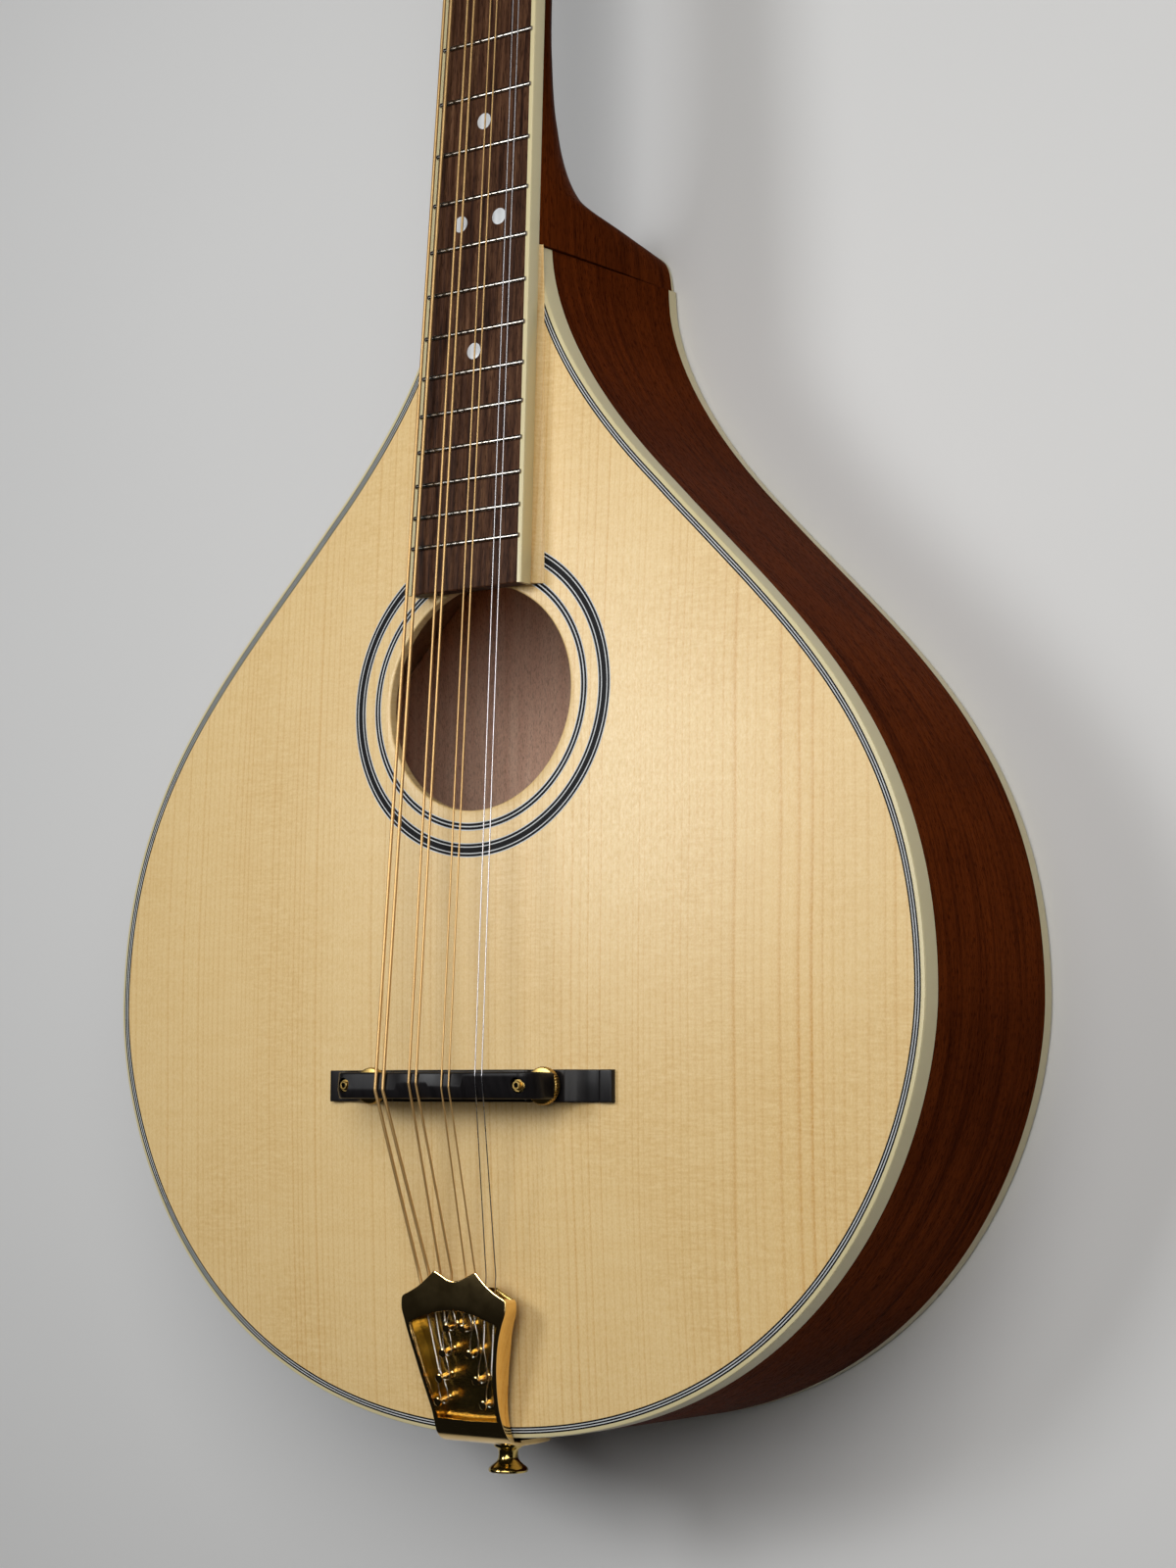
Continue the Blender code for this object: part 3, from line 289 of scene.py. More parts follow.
def spruce(name="spruce_top", k=1.0):
    """Close-grained spruce: thin warm yearly lines at uneven steps, silk across them."""
    m = Mat(name).put(Specular_IOR_Level=0.5)
    m.put(Specular_Tint=(1.0, 0.96, 0.88, 1))
    x = m.axis(m.coords(1000, 1000, 1000), 0)
    sway = m.mathn("MULTIPLY", m.mathn("SUBTRACT", m.noise(m.coords(6, 4, 0), 1.0, 2, 0.5), 0.5), 7.0)
    xs = m.mathn("ADD", x, sway)
    # narrow steps up to 84 mm on the treble side, wide ones beyond
    near = m.mathn("DIVIDE", m.mathn("MINIMUM", xs, 84.0), 2.35)
    far = m.mathn("DIVIDE", m.mathn("MAXIMUM", m.mathn("SUBTRACT", xs, 84.0), 0.0), 3.9)
    pace = m.mathn("MULTIPLY", m.mathn("SUBTRACT", m.noise(m.coords(55, 0.25, 0), 1.0, 2, 0.5), 0.5), 4.2)
    u = m.mathn("ADD", m.mathn("ADD", near, far), pace)
    part = m.mathn("FRACT", u)
    line = m.grey(part, [(0.0, 0.05), (0.40, 0.0), (0.66, 0.16), (0.80, 0.62), (0.885, 1.0), (0.945, 0.55), (1.0, 0.05)])
    each = m.grey(m.chance(m.mathn("FLOOR", u)), [(0.0, 0.30), (0.6, 0.60), (0.88, 0.88), (1.0, 1.0)])
    # the crowded band of wide years near the treble edge
    band = m.grey(m.mathn("ABSOLUTE", m.mathn("DIVIDE", m.mathn("SUBTRACT", xs, 113.0), 20.0)),
                  [(0.0, 1.0), (0.35, 0.8), (0.75, 0.22), (1.0, 0.0)])
    along = m.grey(m.noise(m.coords(60, 7, 0), 1.0, 2, 0.5), [(0.30, 0.45), (0.62, 1.0)])
    power = m.mathn("MULTIPLY", m.mathn("MULTIPLY", m.mathn("ADD", each, m.mathn("MULTIPLY", band, 0.50)), line), along)
    hair = m.mathn("FRACT", m.mathn("MULTIPLY", u, 2.6))
    hair_f = m.grey(hair, [(0.0, 0.0), (0.5, 0.2), (0.8, 1.0), (1.0, 0.0)])
    fleck = m.grey(m.noise(m.coords(1500, 620, 300), 1.0, 3, 0.6), [(0.30, 0.0), (0.70, 1.0)])
    speck = m.grey(m.noise(m.coords(2300, 1300, 300), 1.0, 2, 0.6), [(0.34, 0.0), (0.66, 1.0)])
    where = m.grey(m.noise(m.coords(15, 9, 0), 1.0, 2, 0.5), [(0.44, 0.15), (0.60, 1.0)])
    silk = m.grey(m.noise(m.coords(230, 1150, 60), 1.0, 2, 0.55, 0.3), [(0.34, 0.0), (0.66, 1.0)])
    curl = m.grey(m.noise(m.coords(60, 330, 30, (0, 0, 0.35)), 1.0, 2, 0.5, 0.7), [(0.36, 0.0), (0.66, 1.0)])
    base = (0.775 * k, 0.568 * k, 0.270 * k)
    c = m.tint(base, m.mathn("MULTIPLY", power, 1.0, True), (0.80, 0.62, 0.34))
    c = m.tint(c, m.mathn("MULTIPLY", band, 0.40), (0.98, 0.92, 0.78))
    c = m.tint(c, m.mathn("MULTIPLY", hair_f, 0.30), (0.94, 0.84, 0.66))
    c = m.tint(c, m.mathn("MULTIPLY", fleck, 0.42), (0.88, 0.82, 0.70))
    c = m.mix(c, (0.900 * k, 0.715 * k, 0.425 * k), m.mathn("MULTIPLY", speck, 0.34))
    c = m.tint(c, m.mathn("MULTIPLY", m.mathn("MULTIPLY", silk, where), 0.54), (0.86, 0.78, 0.64))
    c = m.tint(c, m.mathn("MULTIPLY", curl, 0.22), (0.90, 0.82, 0.68))
    m.color(c).rough(fleck, 0.30, 0.40)
    m.bump(m.mathn("ADD", m.mathn("ADD", power, m.mathn("MULTIPLY", silk, 0.5)), m.mathn("MULTIPLY", fleck, 0.6)), 0.000012, 0.16)
    return m.m


def mahogany(name="mahogany", along="Y", k=1.0, painted_shade=False, spec=0.0015):
    """Stained mahogany under a thin finish: ribbon figure and short open pores."""
    m = Mat(name).put(Specular_IOR_Level=spec)
    m.put(Specular_Tint=(1.0, 0.55, 0.30, 1))
    if along == "Y":
        g, pores, rib, wide = m.coords(520, 12, 520), m.coords(2400, 260, 2400), m.coords(150, 5, 150), m.coords(22, 3, 22)
    else:
        g, pores, rib, wide = m.coords(20, 20, 620), m.coords(420, 420, 2700), m.coords(9, 9, 170), m.coords(30, 30, 9)
    a = m.grey(m.noise(g, 1.0, 4, 0.6), [(0.34, 0.0), (0.66, 1.0)])
    r = m.grey(m.noise(rib, 1.0, 3, 0.55), [(0.34, 0.0), (0.66, 1.0)])
    w = m.grey(m.noise(wide, 1.0, 2, 0.5), [(0.36, 0.0), (0.64, 1.0)])
    p = m.noise(pores, 1.0, 2, 0.55)
    c = m.mix((0.046 * k, 0.0078 * k, 0.0012 * k), (0.142 * k, 0.0270 * k, 0.0040 * k), a)
    c = m.mix(c, (0.175 * k, 0.0350 * k, 0.0052 * k), m.mathn("MULTIPLY", r, 0.50))
    c = m.mix(c, (0.042 * k, 0.0070 * k, 0.0011 * k), m.mathn("MULTIPLY", w, 0.38))
    c = m.mix(c, m.ramp(p, [(0.37, (0.22, 0.17, 0.15)), (0.45, (1, 1, 1))]), 0.70, "MULTIPLY")
    if painted_shade:
        # painted shade: the shaft is darkened from the heel towards the head, standing in for the shade that falls on
        # it
        y = m.axis(m.coords(1, 1, 1), 1)
        c = m.tint(c, m.grey(y, [(0.008, 0.0), (0.050, 1.0)]), (0.40, 0.36, 0.35))
    m.color(c).rough(p, 0.22, 0.34).bump(p, 0.000015, 0.12)
    return m.m


def cream(name="cream_binding", base=(0.665, 0.584, 0.342), sss=0.04):
    m = Mat(name).put(Coat_Weight=0.12, Coat_Roughness=0.10, Specular_IOR_Level=0.4,
                      Subsurface_Weight=sss, Subsurface_Radius=(0.002, 0.001, 0.0006))
    n = m.noise(m.coords(16, 5, 16), 1.0, 2, 0.5)
    f = m.noise(m.coords(500, 500, 500), 1.0, 2, 0.5)
    b = base
    c = m.ramp(n, [(0.3, (b[0] * 0.98, b[1] * 0.97, b[2] * 0.95)), (0.7, (b[0] * 1.02, b[1] * 1.02, b[2] * 1.03))])
    m.color(c).rough(f, 0.27, 0.31)
    return m.m


def dark_wood(name, stops, rough=(0.35, 0.55), coat=0.0, pores=0.5, spec=0.4, fine=1.0):
    m = Mat(name).put(Coat_Weight=coat, Coat_Roughness=0.15, Specular_IOR_Level=spec)
    a = m.noise(m.coords(520 * fine, 15, 520 * fine), 1.0, 5, 0.65)
    p = m.noise(m.coords(2600, 240, 2600), 1.0, 2, 0.6)
    c = m.ramp(a, stops)
    c = m.mix(c, m.ramp(p, [(0.38, (0.25, 0.2, 0.18)), (0.47, (1, 1, 1))]), pores, "MULTIPLY")
    m.color(c).rough(a, *rough).bump(p, 0.00002, 0.25)
    return m.m


def gold(name="gold_plate", base=(0.95, 0.68, 0.30), rough=(0.06, 0.15), dents=0.0):
    m = Mat(name).put(Metallic=1.0)
    n = m.noise(m.coords(120, 120, 120), 1.0, 4, 0.6)
    s = m.noise(m.coords(700, 700, 700), 1.0, 2, 0.5)
    b = base
    c = m.ramp(n, [(0.3, (b[0] * 0.92, b[1] * 0.88, b[2] * 0.80)), (0.7, b)])
    m.color(c).rough(n, *rough)
    if dents:
        d = m.noise(m.coords(1100, 1100, 260), 1.0, 2, 0.6)
        m.bump(m.mathn("ADD", s, d), 0.00006, dents)
    else:
        m.bump(s, 0.000004, 0.12)
    return m.m


def wire(name, base, rough=0.3, wound=0.0, metal=1.0):
    m = Mat(name).put(Metallic=metal)
    n = m.noise(m.coords(60, 60, 60), 1.0, 3, 0.6)
    b = base
    c = m.ramp(n, [(0.3, (b[0] * 0.86, b[1] * 0.82, b[2] * 0.78)), (0.7, b)])
    if wound:
        w = m.wave(m.coords(0, 1000, 0), wound, 0.0, 1.0, "Y")
        c = m.mix(c, (b[0] * 0.60, b[1] * 0.54, b[2] * 0.46), m.grey(w, [(0.0, 0.30), (0.35, 0.0)]))
    m.color(c).rough(n, rough * 0.8, rough * 1.3)
    return m.m


def plastic(name, col, rough=(0.25, 0.4), coat=0.12, spec=0.4):
    m = Mat(name).put(Coat_Weight=coat, Coat_Roughness=0.1, Specular_IOR_Level=spec)
    n = m.noise(m.coords(200, 200, 200), 1.0, 3, 0.5)
    c = m.ramp(n, [(0.3, tuple(v * 0.90 for v in col)), (0.7, tuple(min(1, v * 1.06) for v in col))])
    m.color(c).rough(n, *rough).bump(n, 0.00001, 0.08)
    return m.m


def raw_mahogany(name="raw_mahogany_inside"):
    """Unfinished mahogany seen through the hole: pale, with short dark pores."""
    m = Mat(name).put(Specular_IOR_Level=0.12)
    a = m.grey(m.noise(m.coords(300, 14, 300), 1.0, 4, 0.6), [(0.32, 0.0), (0.68, 1.0)])
    p = m.noise(m.coords(2100, 480, 2100), 1.0, 2, 0.6)
    f = m.noise(m.coords(3000, 1000, 3000), 1.0, 2, 0.6)
    t = m.grey(m.noise(m.coords(900, 420, 900), 1.0, 3, 0.6), [(0.35, 0.0), (0.65, 1.0)])
    c = m.mix((0.86, 0.545, 0.410), (0.98, 0.700, 0.550), a)
    c = m.tint(c, m.mathn("MULTIPLY", t, 0.30), (0.80, 0.72, 0.66))
    c = m.mix(c, m.ramp(p, [(0.36, (0.50, 0.40, 0.35)), (0.46, (1, 1, 1))]), 0.45, "MULTIPLY")
    c = m.mix(c, m.ramp(f, [(0.38, (0.66, 0.58, 0.54)), (0.52, (1, 1, 1))]), 0.45, "MULTIPLY")
    m.color(c).rough(a, 0.65, 0.85).bump(p, 0.00002, 0.2)
    return m.m


SPRUCE = spruce()
RISER = spruce("spruce_riser", 0.95)
MAHOG = mahogany("mahogany_sides", "Z")
# the neck mahogany carries painted shade: its shaft darkens towards the head
MAHOG_NECK = mahogany("mahogany_neck", "Y", 0.86, True)
MAHOG_BACK = mahogany("mahogany_back", "Y", 1.1, False, 0.10)
CREAM = cream()
ROSEWOOD = dark_wood("rosewood_board", [(0.32, (0.014, 0.0056, 0.0034)), (0.46, (0.052, 0.0215, 0.0115)),
                                        (0.58, (0.094, 0.042, 0.0210)), (0.69, (0.140, 0.069, 0.035))],
                     (0.42, 0.58), 0.0, 0.7, 0.08)
EBONY = dark_wood("ebony_parts", [(0.3, (0.0055, 0.0050, 0.0055)), (0.7, (0.0120, 0.0105, 0.0115))],
                  (0.26, 0.40), 0.0, 0.25, 0.22)
GOLD = gold()
# darker, rougher gold for the post screws and thumbwheels: the darker colour is painted shade that dulls their
# reflections
GOLD_DIM = gold("gold_dimmed_shade", (0.50, 0.345, 0.115), (0.24, 0.38))
# darker gold for the strap pin: painted shade that dulls its reflection of the floor
GOLD_PIN = gold("gold_pin", (0.60, 0.45, 0.15), (0.12, 0.20))
# darker gold for the tailpiece's inner walls and floor: painted shade in the recess; its dents and roughness are the
# surface's own
GOLD_IN = gold("gold_inside", (0.56, 0.40, 0.125), (0.17, 0.27), 0.40)
INNER = dark_wood("inner_wood", [(0.3, (0.38, 0.25, 0.16)), (0.7, (0.50, 0.36, 0.24))], (0.6, 0.8), 0.0, 0.3, 0.15)
BONE = cream("bone_nut", (0.72, 0.66, 0.50))
STEEL = wire("rod_steel", (0.6, 0.6, 0.61), 0.3)
BRONZE = wire("wound_bronze_wire", (0.66, 0.43, 0.180), 0.38, 0.9, 0.70)
PLAIN = wire("plain_steel_wire", (0.54, 0.54, 0.58), 0.26)
CORE = wire("twisted_core_wire", (0.84, 0.82, 0.79), 0.22)
FRETM = wire("fret_metal", (0.40, 0.375, 0.34), 0.22)
BLACK = plastic("purfling_black", (0.006, 0.006, 0.007), (0.45, 0.55), 0.0, 0.12)
WHITE = plastic("purfling_white", (0.60, 0.62, 0.63), (0.4, 0.5), 0.0, 0.3)
PEARL = plastic("dot_pearl", (0.66, 0.68, 0.70), (0.15, 0.25))
RAW = raw_mahogany()

LOOK = {"top_plate": SPRUCE, "fretboard_riser": RISER, "back_plate": MAHOG_BACK, "rim_bass": MAHOG, "rim_treble": MAHOG,
        "neck": MAHOG_NECK, "top_binding": CREAM, "back_binding": CREAM, "heel_cap": CREAM,
        "fretboard_binding_bass": CREAM, "fretboard_binding_treble": CREAM, "rosette_outer": BLACK,
        "rosette_inner": BLACK, "fretboard": ROSEWOOD, "headstock_veneer": EBONY, "bridge_base": EBONY,
        "bridge_saddle": EBONY, "nut": BONE, "truss_rod": STEEL, "truss_rod_nut": STEEL, "neck_block": INNER,
        "tail_block": INNER, "top_lining": INNER, "back_lining": INNER, "top_brace_upper": SPRUCE,
        "top_brace_lower": SPRUCE, "back_brace_upper": SPRUCE, "back_brace_lower": SPRUCE,
        "string_e1": PLAIN, "string_e2": PLAIN}
for name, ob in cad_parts.items():
    mat = LOOK.get(name)
    if mat is None:
        mat = BRONZE if name.startswith("string_") and not name.startswith("string_post") else GOLD
    ob.data.materials.clear()
    ob.data.materials.append(mat)


# ------------------------------------------------------------------ pieces
def face_out(me):
    bm = bmesh.new()
    bm.from_mesh(me)
    bmesh.ops.recalc_face_normals(bm, faces=bm.faces)
    if bm.calc_volume(signed=True) < 0:
        bmesh.ops.reverse_faces(bm, faces=bm.faces)
    bm.to_mesh(me)
    bm.free()


def sharpen(me, deg):
    me.shade_smooth()
    me.set_sharp_from_angle(angle=math.radians(deg))


def piece(name, verts, faces, mat, body=ROOT, smooth=30):
    me = bpy.data.meshes.new(name)
    me.from_pydata([to_m(v) for v in verts], [], faces)
    me.materials.append(mat)
    me.update()
    ob = bpy.data.objects.new(name, me)
    bpy.context.scene.collection.objects.link(ob)
    face_out(me)
    if smooth:
        sharpen(me, smooth)
    if body:
        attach(ob, body)
    return ob


def skin(name, loops, mat, closed=False, body=ROOT, smooth=30):
    n = len(loops[0])
    verts = [tuple(map(float, v)) for lp in loops for v in lp]
    m = len(loops)
    faces = []
    for i in range(m if closed else m - 1):
        a, b = i * n, ((i + 1) % m) * n
        for j in range(n):
            k = (j + 1) % n
            faces.append((a + j, a + k, b + k, b + j))
    if not closed:
        faces.append(tuple(range(n))[::-1])
        faces.append(tuple((m - 1) * n + j for j in range(n)))
    return piece(name, verts, faces, mat, body, smooth)


def lathe(name, base, axis, prof, mat, body=ROOT, n=48, closed=False, rad=None, smooth=32, e1=None):
    a = Vector(axis).normalized()
    e1 = Vector(e1).normalized() if e1 is not None else a.orthogonal().normalized()
    e2 = a.cross(e1)
    loops = []
    for h, r in prof:
        row = []
        for k in range(n):
            t = 2 * math.pi * k / n
            rr = rad(t, h, r) if rad else r
            row.append(Vector(base) + a * h + e1 * (rr * math.cos(t)) + e2 * (rr * math.sin(t)))
        loops.append(row)
    return skin(name, loops, mat, closed, body, smooth)


def tube(name, pts, r, mat, body=ROOT, n=12, smooth=50):
    pts = [Vector(p) for p in pts]
    e = (pts[1] - pts[0]).normalized().orthogonal().normalized()
    loops = []
    for i, p in enumerate(pts):
        t = (pts[min(i + 1, len(pts) - 1)] - pts[max(i - 1, 0)]).normalized()
        e = (e - t * e.dot(t)).normalized()
        f = t.cross(e)
        rr = r[i] if hasattr(r, "__len__") else r
        loops.append([p + e * (rr * math.cos(2 * math.pi * k / n)) + f * (rr * math.sin(2 * math.pi * k / n))
                      for k in range(n)])
    return skin(name, loops, mat, False, body, smooth)


def cut(ob, cutters, smooth=32):
    """Takes the cutters out of ob and clears them away."""
    for c in cutters:
        mod = ob.modifiers.new("cut", "BOOLEAN")
        mod.operation = "DIFFERENCE"
        mod.solver = "EXACT"
        mod.object = c
    bpy.context.view_layer.update()
    deps = bpy.context.evaluated_depsgraph_get()
    me = bpy.data.meshes.new_from_object(ob.evaluated_get(deps))
    ob.modifiers.clear()
    while len(me.materials) > 1:
        me.materials.pop()
    for f in me.polygons:
        f.material_index = 0
    ob.data = me
    sharpen(me, smooth)
    for c in cutters:
        bpy.data.objects.remove(c, do_unlink=True)
    return ob


def cutter(loops):
    """A closed body used by cut() and then removed."""
    n = len(loops[0])
    verts = [to_m(v) for lp in loops for v in lp]
    m = len(loops)
    faces = [(i * n + j, i * n + (j + 1) % n, (i + 1) * n + (j + 1) % n, (i + 1) * n + j)
             for i in range(m - 1) for j in range(n)]
    faces += [tuple(range(n))[::-1], tuple((m - 1) * n + j for j in range(n))]
    me = bpy.data.meshes.new("cut")
    me.from_pydata(verts, [], faces)
    me.update()
    face_out(me)
    ob = bpy.data.objects.new("cut", me)
    bpy.context.scene.collection.objects.link(ob)
    return ob


def rod_cutter(base, axis, h0, h1, r, n=32):
    a = Vector(axis).normalized()
    e1 = a.orthogonal().normalized()
    e2 = a.cross(e1)
    return cutter([[Vector(base) + a * h + e1 * (r * math.cos(2 * math.pi * k / n)) + e2 * (r * math.sin(2 * math.pi * k / n))
                    for k in range(n)] for h in (h0, h1)])


def two_sided(ob, mat, test):
    """Gives the faces whose centre and normal pass the test the second material."""
    ob.data.materials.append(mat)
    for f in ob.data.polygons:
        if test(f.center, f.normal):
            f.material_index = 1


# ------------------------------------------------------------------ body shells
def ring_strip(name, corners, mat, n=180, halves=(-1, 1)):
    """A strip round the body; its corners are given as (inset, z function)."""
    lines = {c[0]: edge_line(c[0], n) for c in corners}
    loops = []
    idx = ([(k, -1) for k in range(n, 0, -1)] if -1 in halves else []) + ([(k, 1) for k in range(0, n + 1)] if 1 in halves else [])
    for k, sgn in idx:
        row = []
        for inset, zf in corners:
            x, y = lines[inset][k]
            z = zf(x, y)
            if k >= n - 1:
                y = min(y + (joint_y(z) - joint_y(0)) * (1.0 if k == n else 0.5), joint_y(z) - 0.3)
            row.append((sgn * x, y, z))
        loops.append(row)
    return skin(name, loops, mat)


# soundboard: rounded hole edge, arched top
ANG = 300
edge_h = edge_line(2.5, ANG // 2)
edge_pts = np.vstack([edge_h, edge_h[1:][::-1] * np.array([-1, 1])])
edge_ang = np.arctan2(edge_pts[:, 1] - HOLE_Y, edge_pts[:, 0])


def sb_ring(f, dz, r0=HOLE_R):
    row = []
    for (x, y), a in zip(edge_pts, edge_ang):
        cx, cy = r0 * math.cos(a), HOLE_Y + r0 * math.sin(a)
        px, py = cx + f * (x - cx), cy + f * (y - cy)
        row.append((px, py, dome(px, py) + dz))
    return row


rings = [sb_ring(0, -3.0), sb_ring(0, -0.55), sb_ring(0, -0.28, HOLE_R + 0.07), sb_ring(0, -0.1, HOLE_R + 0.25),
         sb_ring(0, 0, HOLE_R + 0.55)]
rings += [sb_ring(f, 0) for f in np.linspace(0.02, 1.0, 44)]
rings += [sb_ring(f, -3.0) for f in (1.0, 0.75, 0.5, 0.25)]
ob = skin("soundboard", rings, SPRUCE, closed=True, smooth=40)
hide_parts("top_plate")

# binding strips with a rounded outer corner
b_top = [(0.0, lambda x, y: -7.1), (0.0, lambda x, y: -0.85), (0.07, lambda x, y: -0.45), (0.26, lambda x, y: -0.14),
         (0.62, lambda x, y: 0.0), (1.3, lambda x, y: dome(x, y) + 0.03), (2.2, lambda x, y: dome(x, y) - 0.6),
         (2.2, lambda x, y: -7.1)]
ob = ring_strip("edge_binding_top", b_top, CREAM)
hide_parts("top_binding")
b_back = [(0.0, lambda x, y: -DEPTH + 4.9), (0.0, lambda x, y: -DEPTH + 1.0), (0.1, lambda x, y: -DEPTH + 0.5),
          (0.4, lambda x, y: -DEPTH + 0.16), (0.9, lambda x, y: -DEPTH + 0.02), (2.2, lambda x, y: -DEPTH + 0.02),
          (2.2, lambda x, y: -DEPTH + 4.9)]
ob = ring_strip("edge_binding_back", b_back, CREAM)
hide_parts("back_binding")
cen = Vector(to_m((0, 30, -40)))
for sgn, nm in ((-1, "bass"), (1, "treble")):
    side = [(0.0, lambda x, y, z=z: z) for z in (-7.15, -22.0, -38.0, -54.0, -DEPTH + 4.95)]
    side += [(2.2, lambda x, y, z=z: z) for z in (-DEPTH + 4.95, -54.0, -38.0, -22.0, -7.15)]
    ob = ring_strip("side_" + nm, side, MAHOG, halves=(sgn,))
    two_sided(ob, RAW, lambda c, nn: (c - cen).dot(nn) < 0)
    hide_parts("rim_" + nm)
bl = edge_line(2.2, 150, -DEPTH)
bp = [(x, y) for x, y in bl] + [(-x, y) for x, y in bl[1:][::-1]]
ob = skin("back_board", [[(x, y, -DEPTH) for x, y in bp], [(x, y, -DEPTH + 3.0) for x, y in bp]], MAHOG_BACK)
two_sided(ob, RAW, lambda c, nn: nn.z > 0.5)
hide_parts("back_plate")


def edge_inlay(name, a, b, z_of, mat, n=180, lip=0.05, deep=0.6):
    """One thin line set along the edge, between two insets."""
    ho, hi = edge_line(a, n), edge_line(b, n)
    loops = []
    for k, s in [(k, -1) for k in range(n, 0, -1)] + [(k, 1) for k in range(0, n + 1)]:
        o, q = ho[k], hi[k]
        loops.append([(s * o[0], o[1], z_of(*o) + lip), (s * o[0], o[1], z_of(*o) - deep),
                      (s * q[0], q[1], z_of(*q) - deep), (s * q[0], q[1], z_of(*q) + lip)])
    return skin(name, loops, mat)


# purfling: black, white, black, white, black inside the cream strip
at = 1.3
for i, (mat, wide) in enumerate(((BLACK, 0.50), (WHITE, 0.27), (BLACK, 0.50), (WHITE, 0.27), (BLACK, 0.50))):
    edge_inlay("purfling_%d" % i, at, at + wide, dome, mat)
    at += wide

# rosette rings
RINGS = ((38.55, 38.85, WHITE), (38.85, 39.62, BLACK), (39.62, 39.98, WHITE), (39.98, 40.75, BLACK),
         (40.75, 41.05, WHITE), (44.85, 45.15, WHITE), (45.15, 45.88, BLACK), (45.88, 46.20, WHITE),
         (46.20, 47.85, BLACK), (47.85, 48.17, WHITE), (48.17, 48.90, BLACK), (48.90, 49.20, WHITE))
for i, (r0, r1, mat) in enumerate(RINGS):
    loops = []
    for k in range(200):
        a = 2 * math.pi * k / 200
        c, s = math.cos(a), math.sin(a)
        p, q = (r0 * c, HOLE_Y + r0 * s), (r1 * c, HOLE_Y + r1 * s)
        loops.append([(*p, dome(*p) + 0.04), (*p, dome(*p) - 0.9), (*q, dome(*q) - 0.9), (*q, dome(*q) + 0.04)])
    ob = skin("rosette_ring_%d" % i, loops, mat, closed=True)
    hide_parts("rosette_inner" if i < 5 else "rosette_outer")

# ------------------------------------------------------------------ neck and heel
# depth of the neck under its gluing face: (y, depth)
SCOOP = ((257.0, 138.0), (262.0, 130.0), (265.0, 120.5), (267.5, 108.5), (269.5, 96.0), (271.0, 84.0), (272.5, 71.0),
         (274.0, 55.0), (276.0, 42.3), (278.5, 36.1), (281.5, 31.7), (285.0, 28.1), (290.0, 24.4), (296.0, 21.4),
         (304.0, 17.8), (316.0, 14.8), (332.0, 12.8), (380.0, 12.9), (430.0, 13.1), (480.0, 13.4), (519.0, 13.6),
         (531.0, 10.9))


def neck_top(y):
    if y <= HEAD_Y0:
        return plane(y) - FRET_H - BOARD_T - 0.25
    return neck_top(HEAD_Y0) - (y - HEAD_Y0) * math.tan(HEAD_ANG) - 0.3


def neck_section(y, depth, first=False, n=26):
    """Flat on top, rounded behind; the heel is cut off flat above its cap."""
    zt = neck_top(y)
    w = half_w(min(y, 514)) + FB_BIND
    top = zt - 0.25
    room = top - HEEL_Z
    e = 2.0 + 0.35 * max(0.0, min(1.0, (depth - 20.0) / 40.0))
    flat = depth > room
    last = math.asin((room / depth) ** (e / 2)) if flat else math.pi / 2 * n / (n + 1)
    pts = [(w - 0.15, zt), (w - 0.02, zt - 0.10), (w, top)]
    for k in range(1, n + 1):
        a = last * k / n
        pts.append((w * math.cos(a) ** (2 / e), top - depth * math.sin(a) ** (2 / e)))
    pts.append((0.0, HEEL_Z if flat else top - depth))
    full = pts + [(-x, z) for x, z in pts[:-1][::-1]]
    return [(x, joint_y(z) if first else y, z) for x, z in full]


secs = [neck_section(257.0, 138.0, True)]
last_y = 258.8
for y, d in curve(SCOOP, 6):
    if float(y) > last_y + 0.10:
        last_y = float(y)
        secs.append(neck_section(last_y, max(float(d), 10.5)))
ob = skin("neck_shaft", secs, MAHOG_NECK, smooth=40)
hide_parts("neck")

HEAD_SHAPE = ((0, 14.1), (7, 15.0), (15, 19.5), (23, 26.6), (31, 29.6), (45, 29.9), (80, 28.9), (112, 28.0),
              (127, 27.2), (137, 23.5), (143, 15.0), (146.5, 8.0), (150, 0.0))


def head_loop(inset, n, u_min=0.0):
    c = curve(HEAD_SHAPE, 6)
    d = np.gradient(c, axis=0)
    nr = np.c_[-d[:, 1], d[:, 0]]
    nr /= np.linalg.norm(nr, axis=1)[:, None]
    c = c - nr * inset * np.sign(nr[:, 1:2] + 1e-9)
    c[:, 0] = np.clip(c[:, 0], u_min, HEAD_LEN - inset)
    c[:, 1] = np.clip(c[:, 1], 0.0, None)
    c[-1] = (HEAD_LEN - inset, 0.0)
    half = [(float(u), float(x)) for u, x in c]
    return [head(u, x, n) for u, x in half] + [head(u, -x, n) for u, x in half[:-1][::-1]]


slab = [head_loop(i, n) for i, n in ((1.2, -HEAD_T), (0.55, -HEAD_T + 0.12), (0.2, -HEAD_T + 0.45), (0.0, -HEAD_T + 1.1),
                                     (0.0, -0.05), (0.1, 0.2))]
ob = skin("headstock", slab, MAHOG_NECK, smooth=40)
cut(ob, [rod_cutter(head(u, s * POST_X, 0), AX_N, -30, 20, POST_R + 0.6) for s in (-1, 1) for u in POST_U], 40)
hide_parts("neck")
ven = [head_loop(i, n, 1.2) for i, n in ((0.4, 0.2), (0.4, VENEER_T - 0.05), (0.5, VENEER_T + 0.2), (0.75, VENEER_T + 0.3))]
ob = skin("headstock_face", ven, EBONY, smooth=40)
cut(ob, [rod_cutter(head(u, s * POST_X, 0), AX_N, -30, 20, POST_R + 0.6) for s in (-1, 1) for u in POST_U], 40)
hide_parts("headstock_veneer")

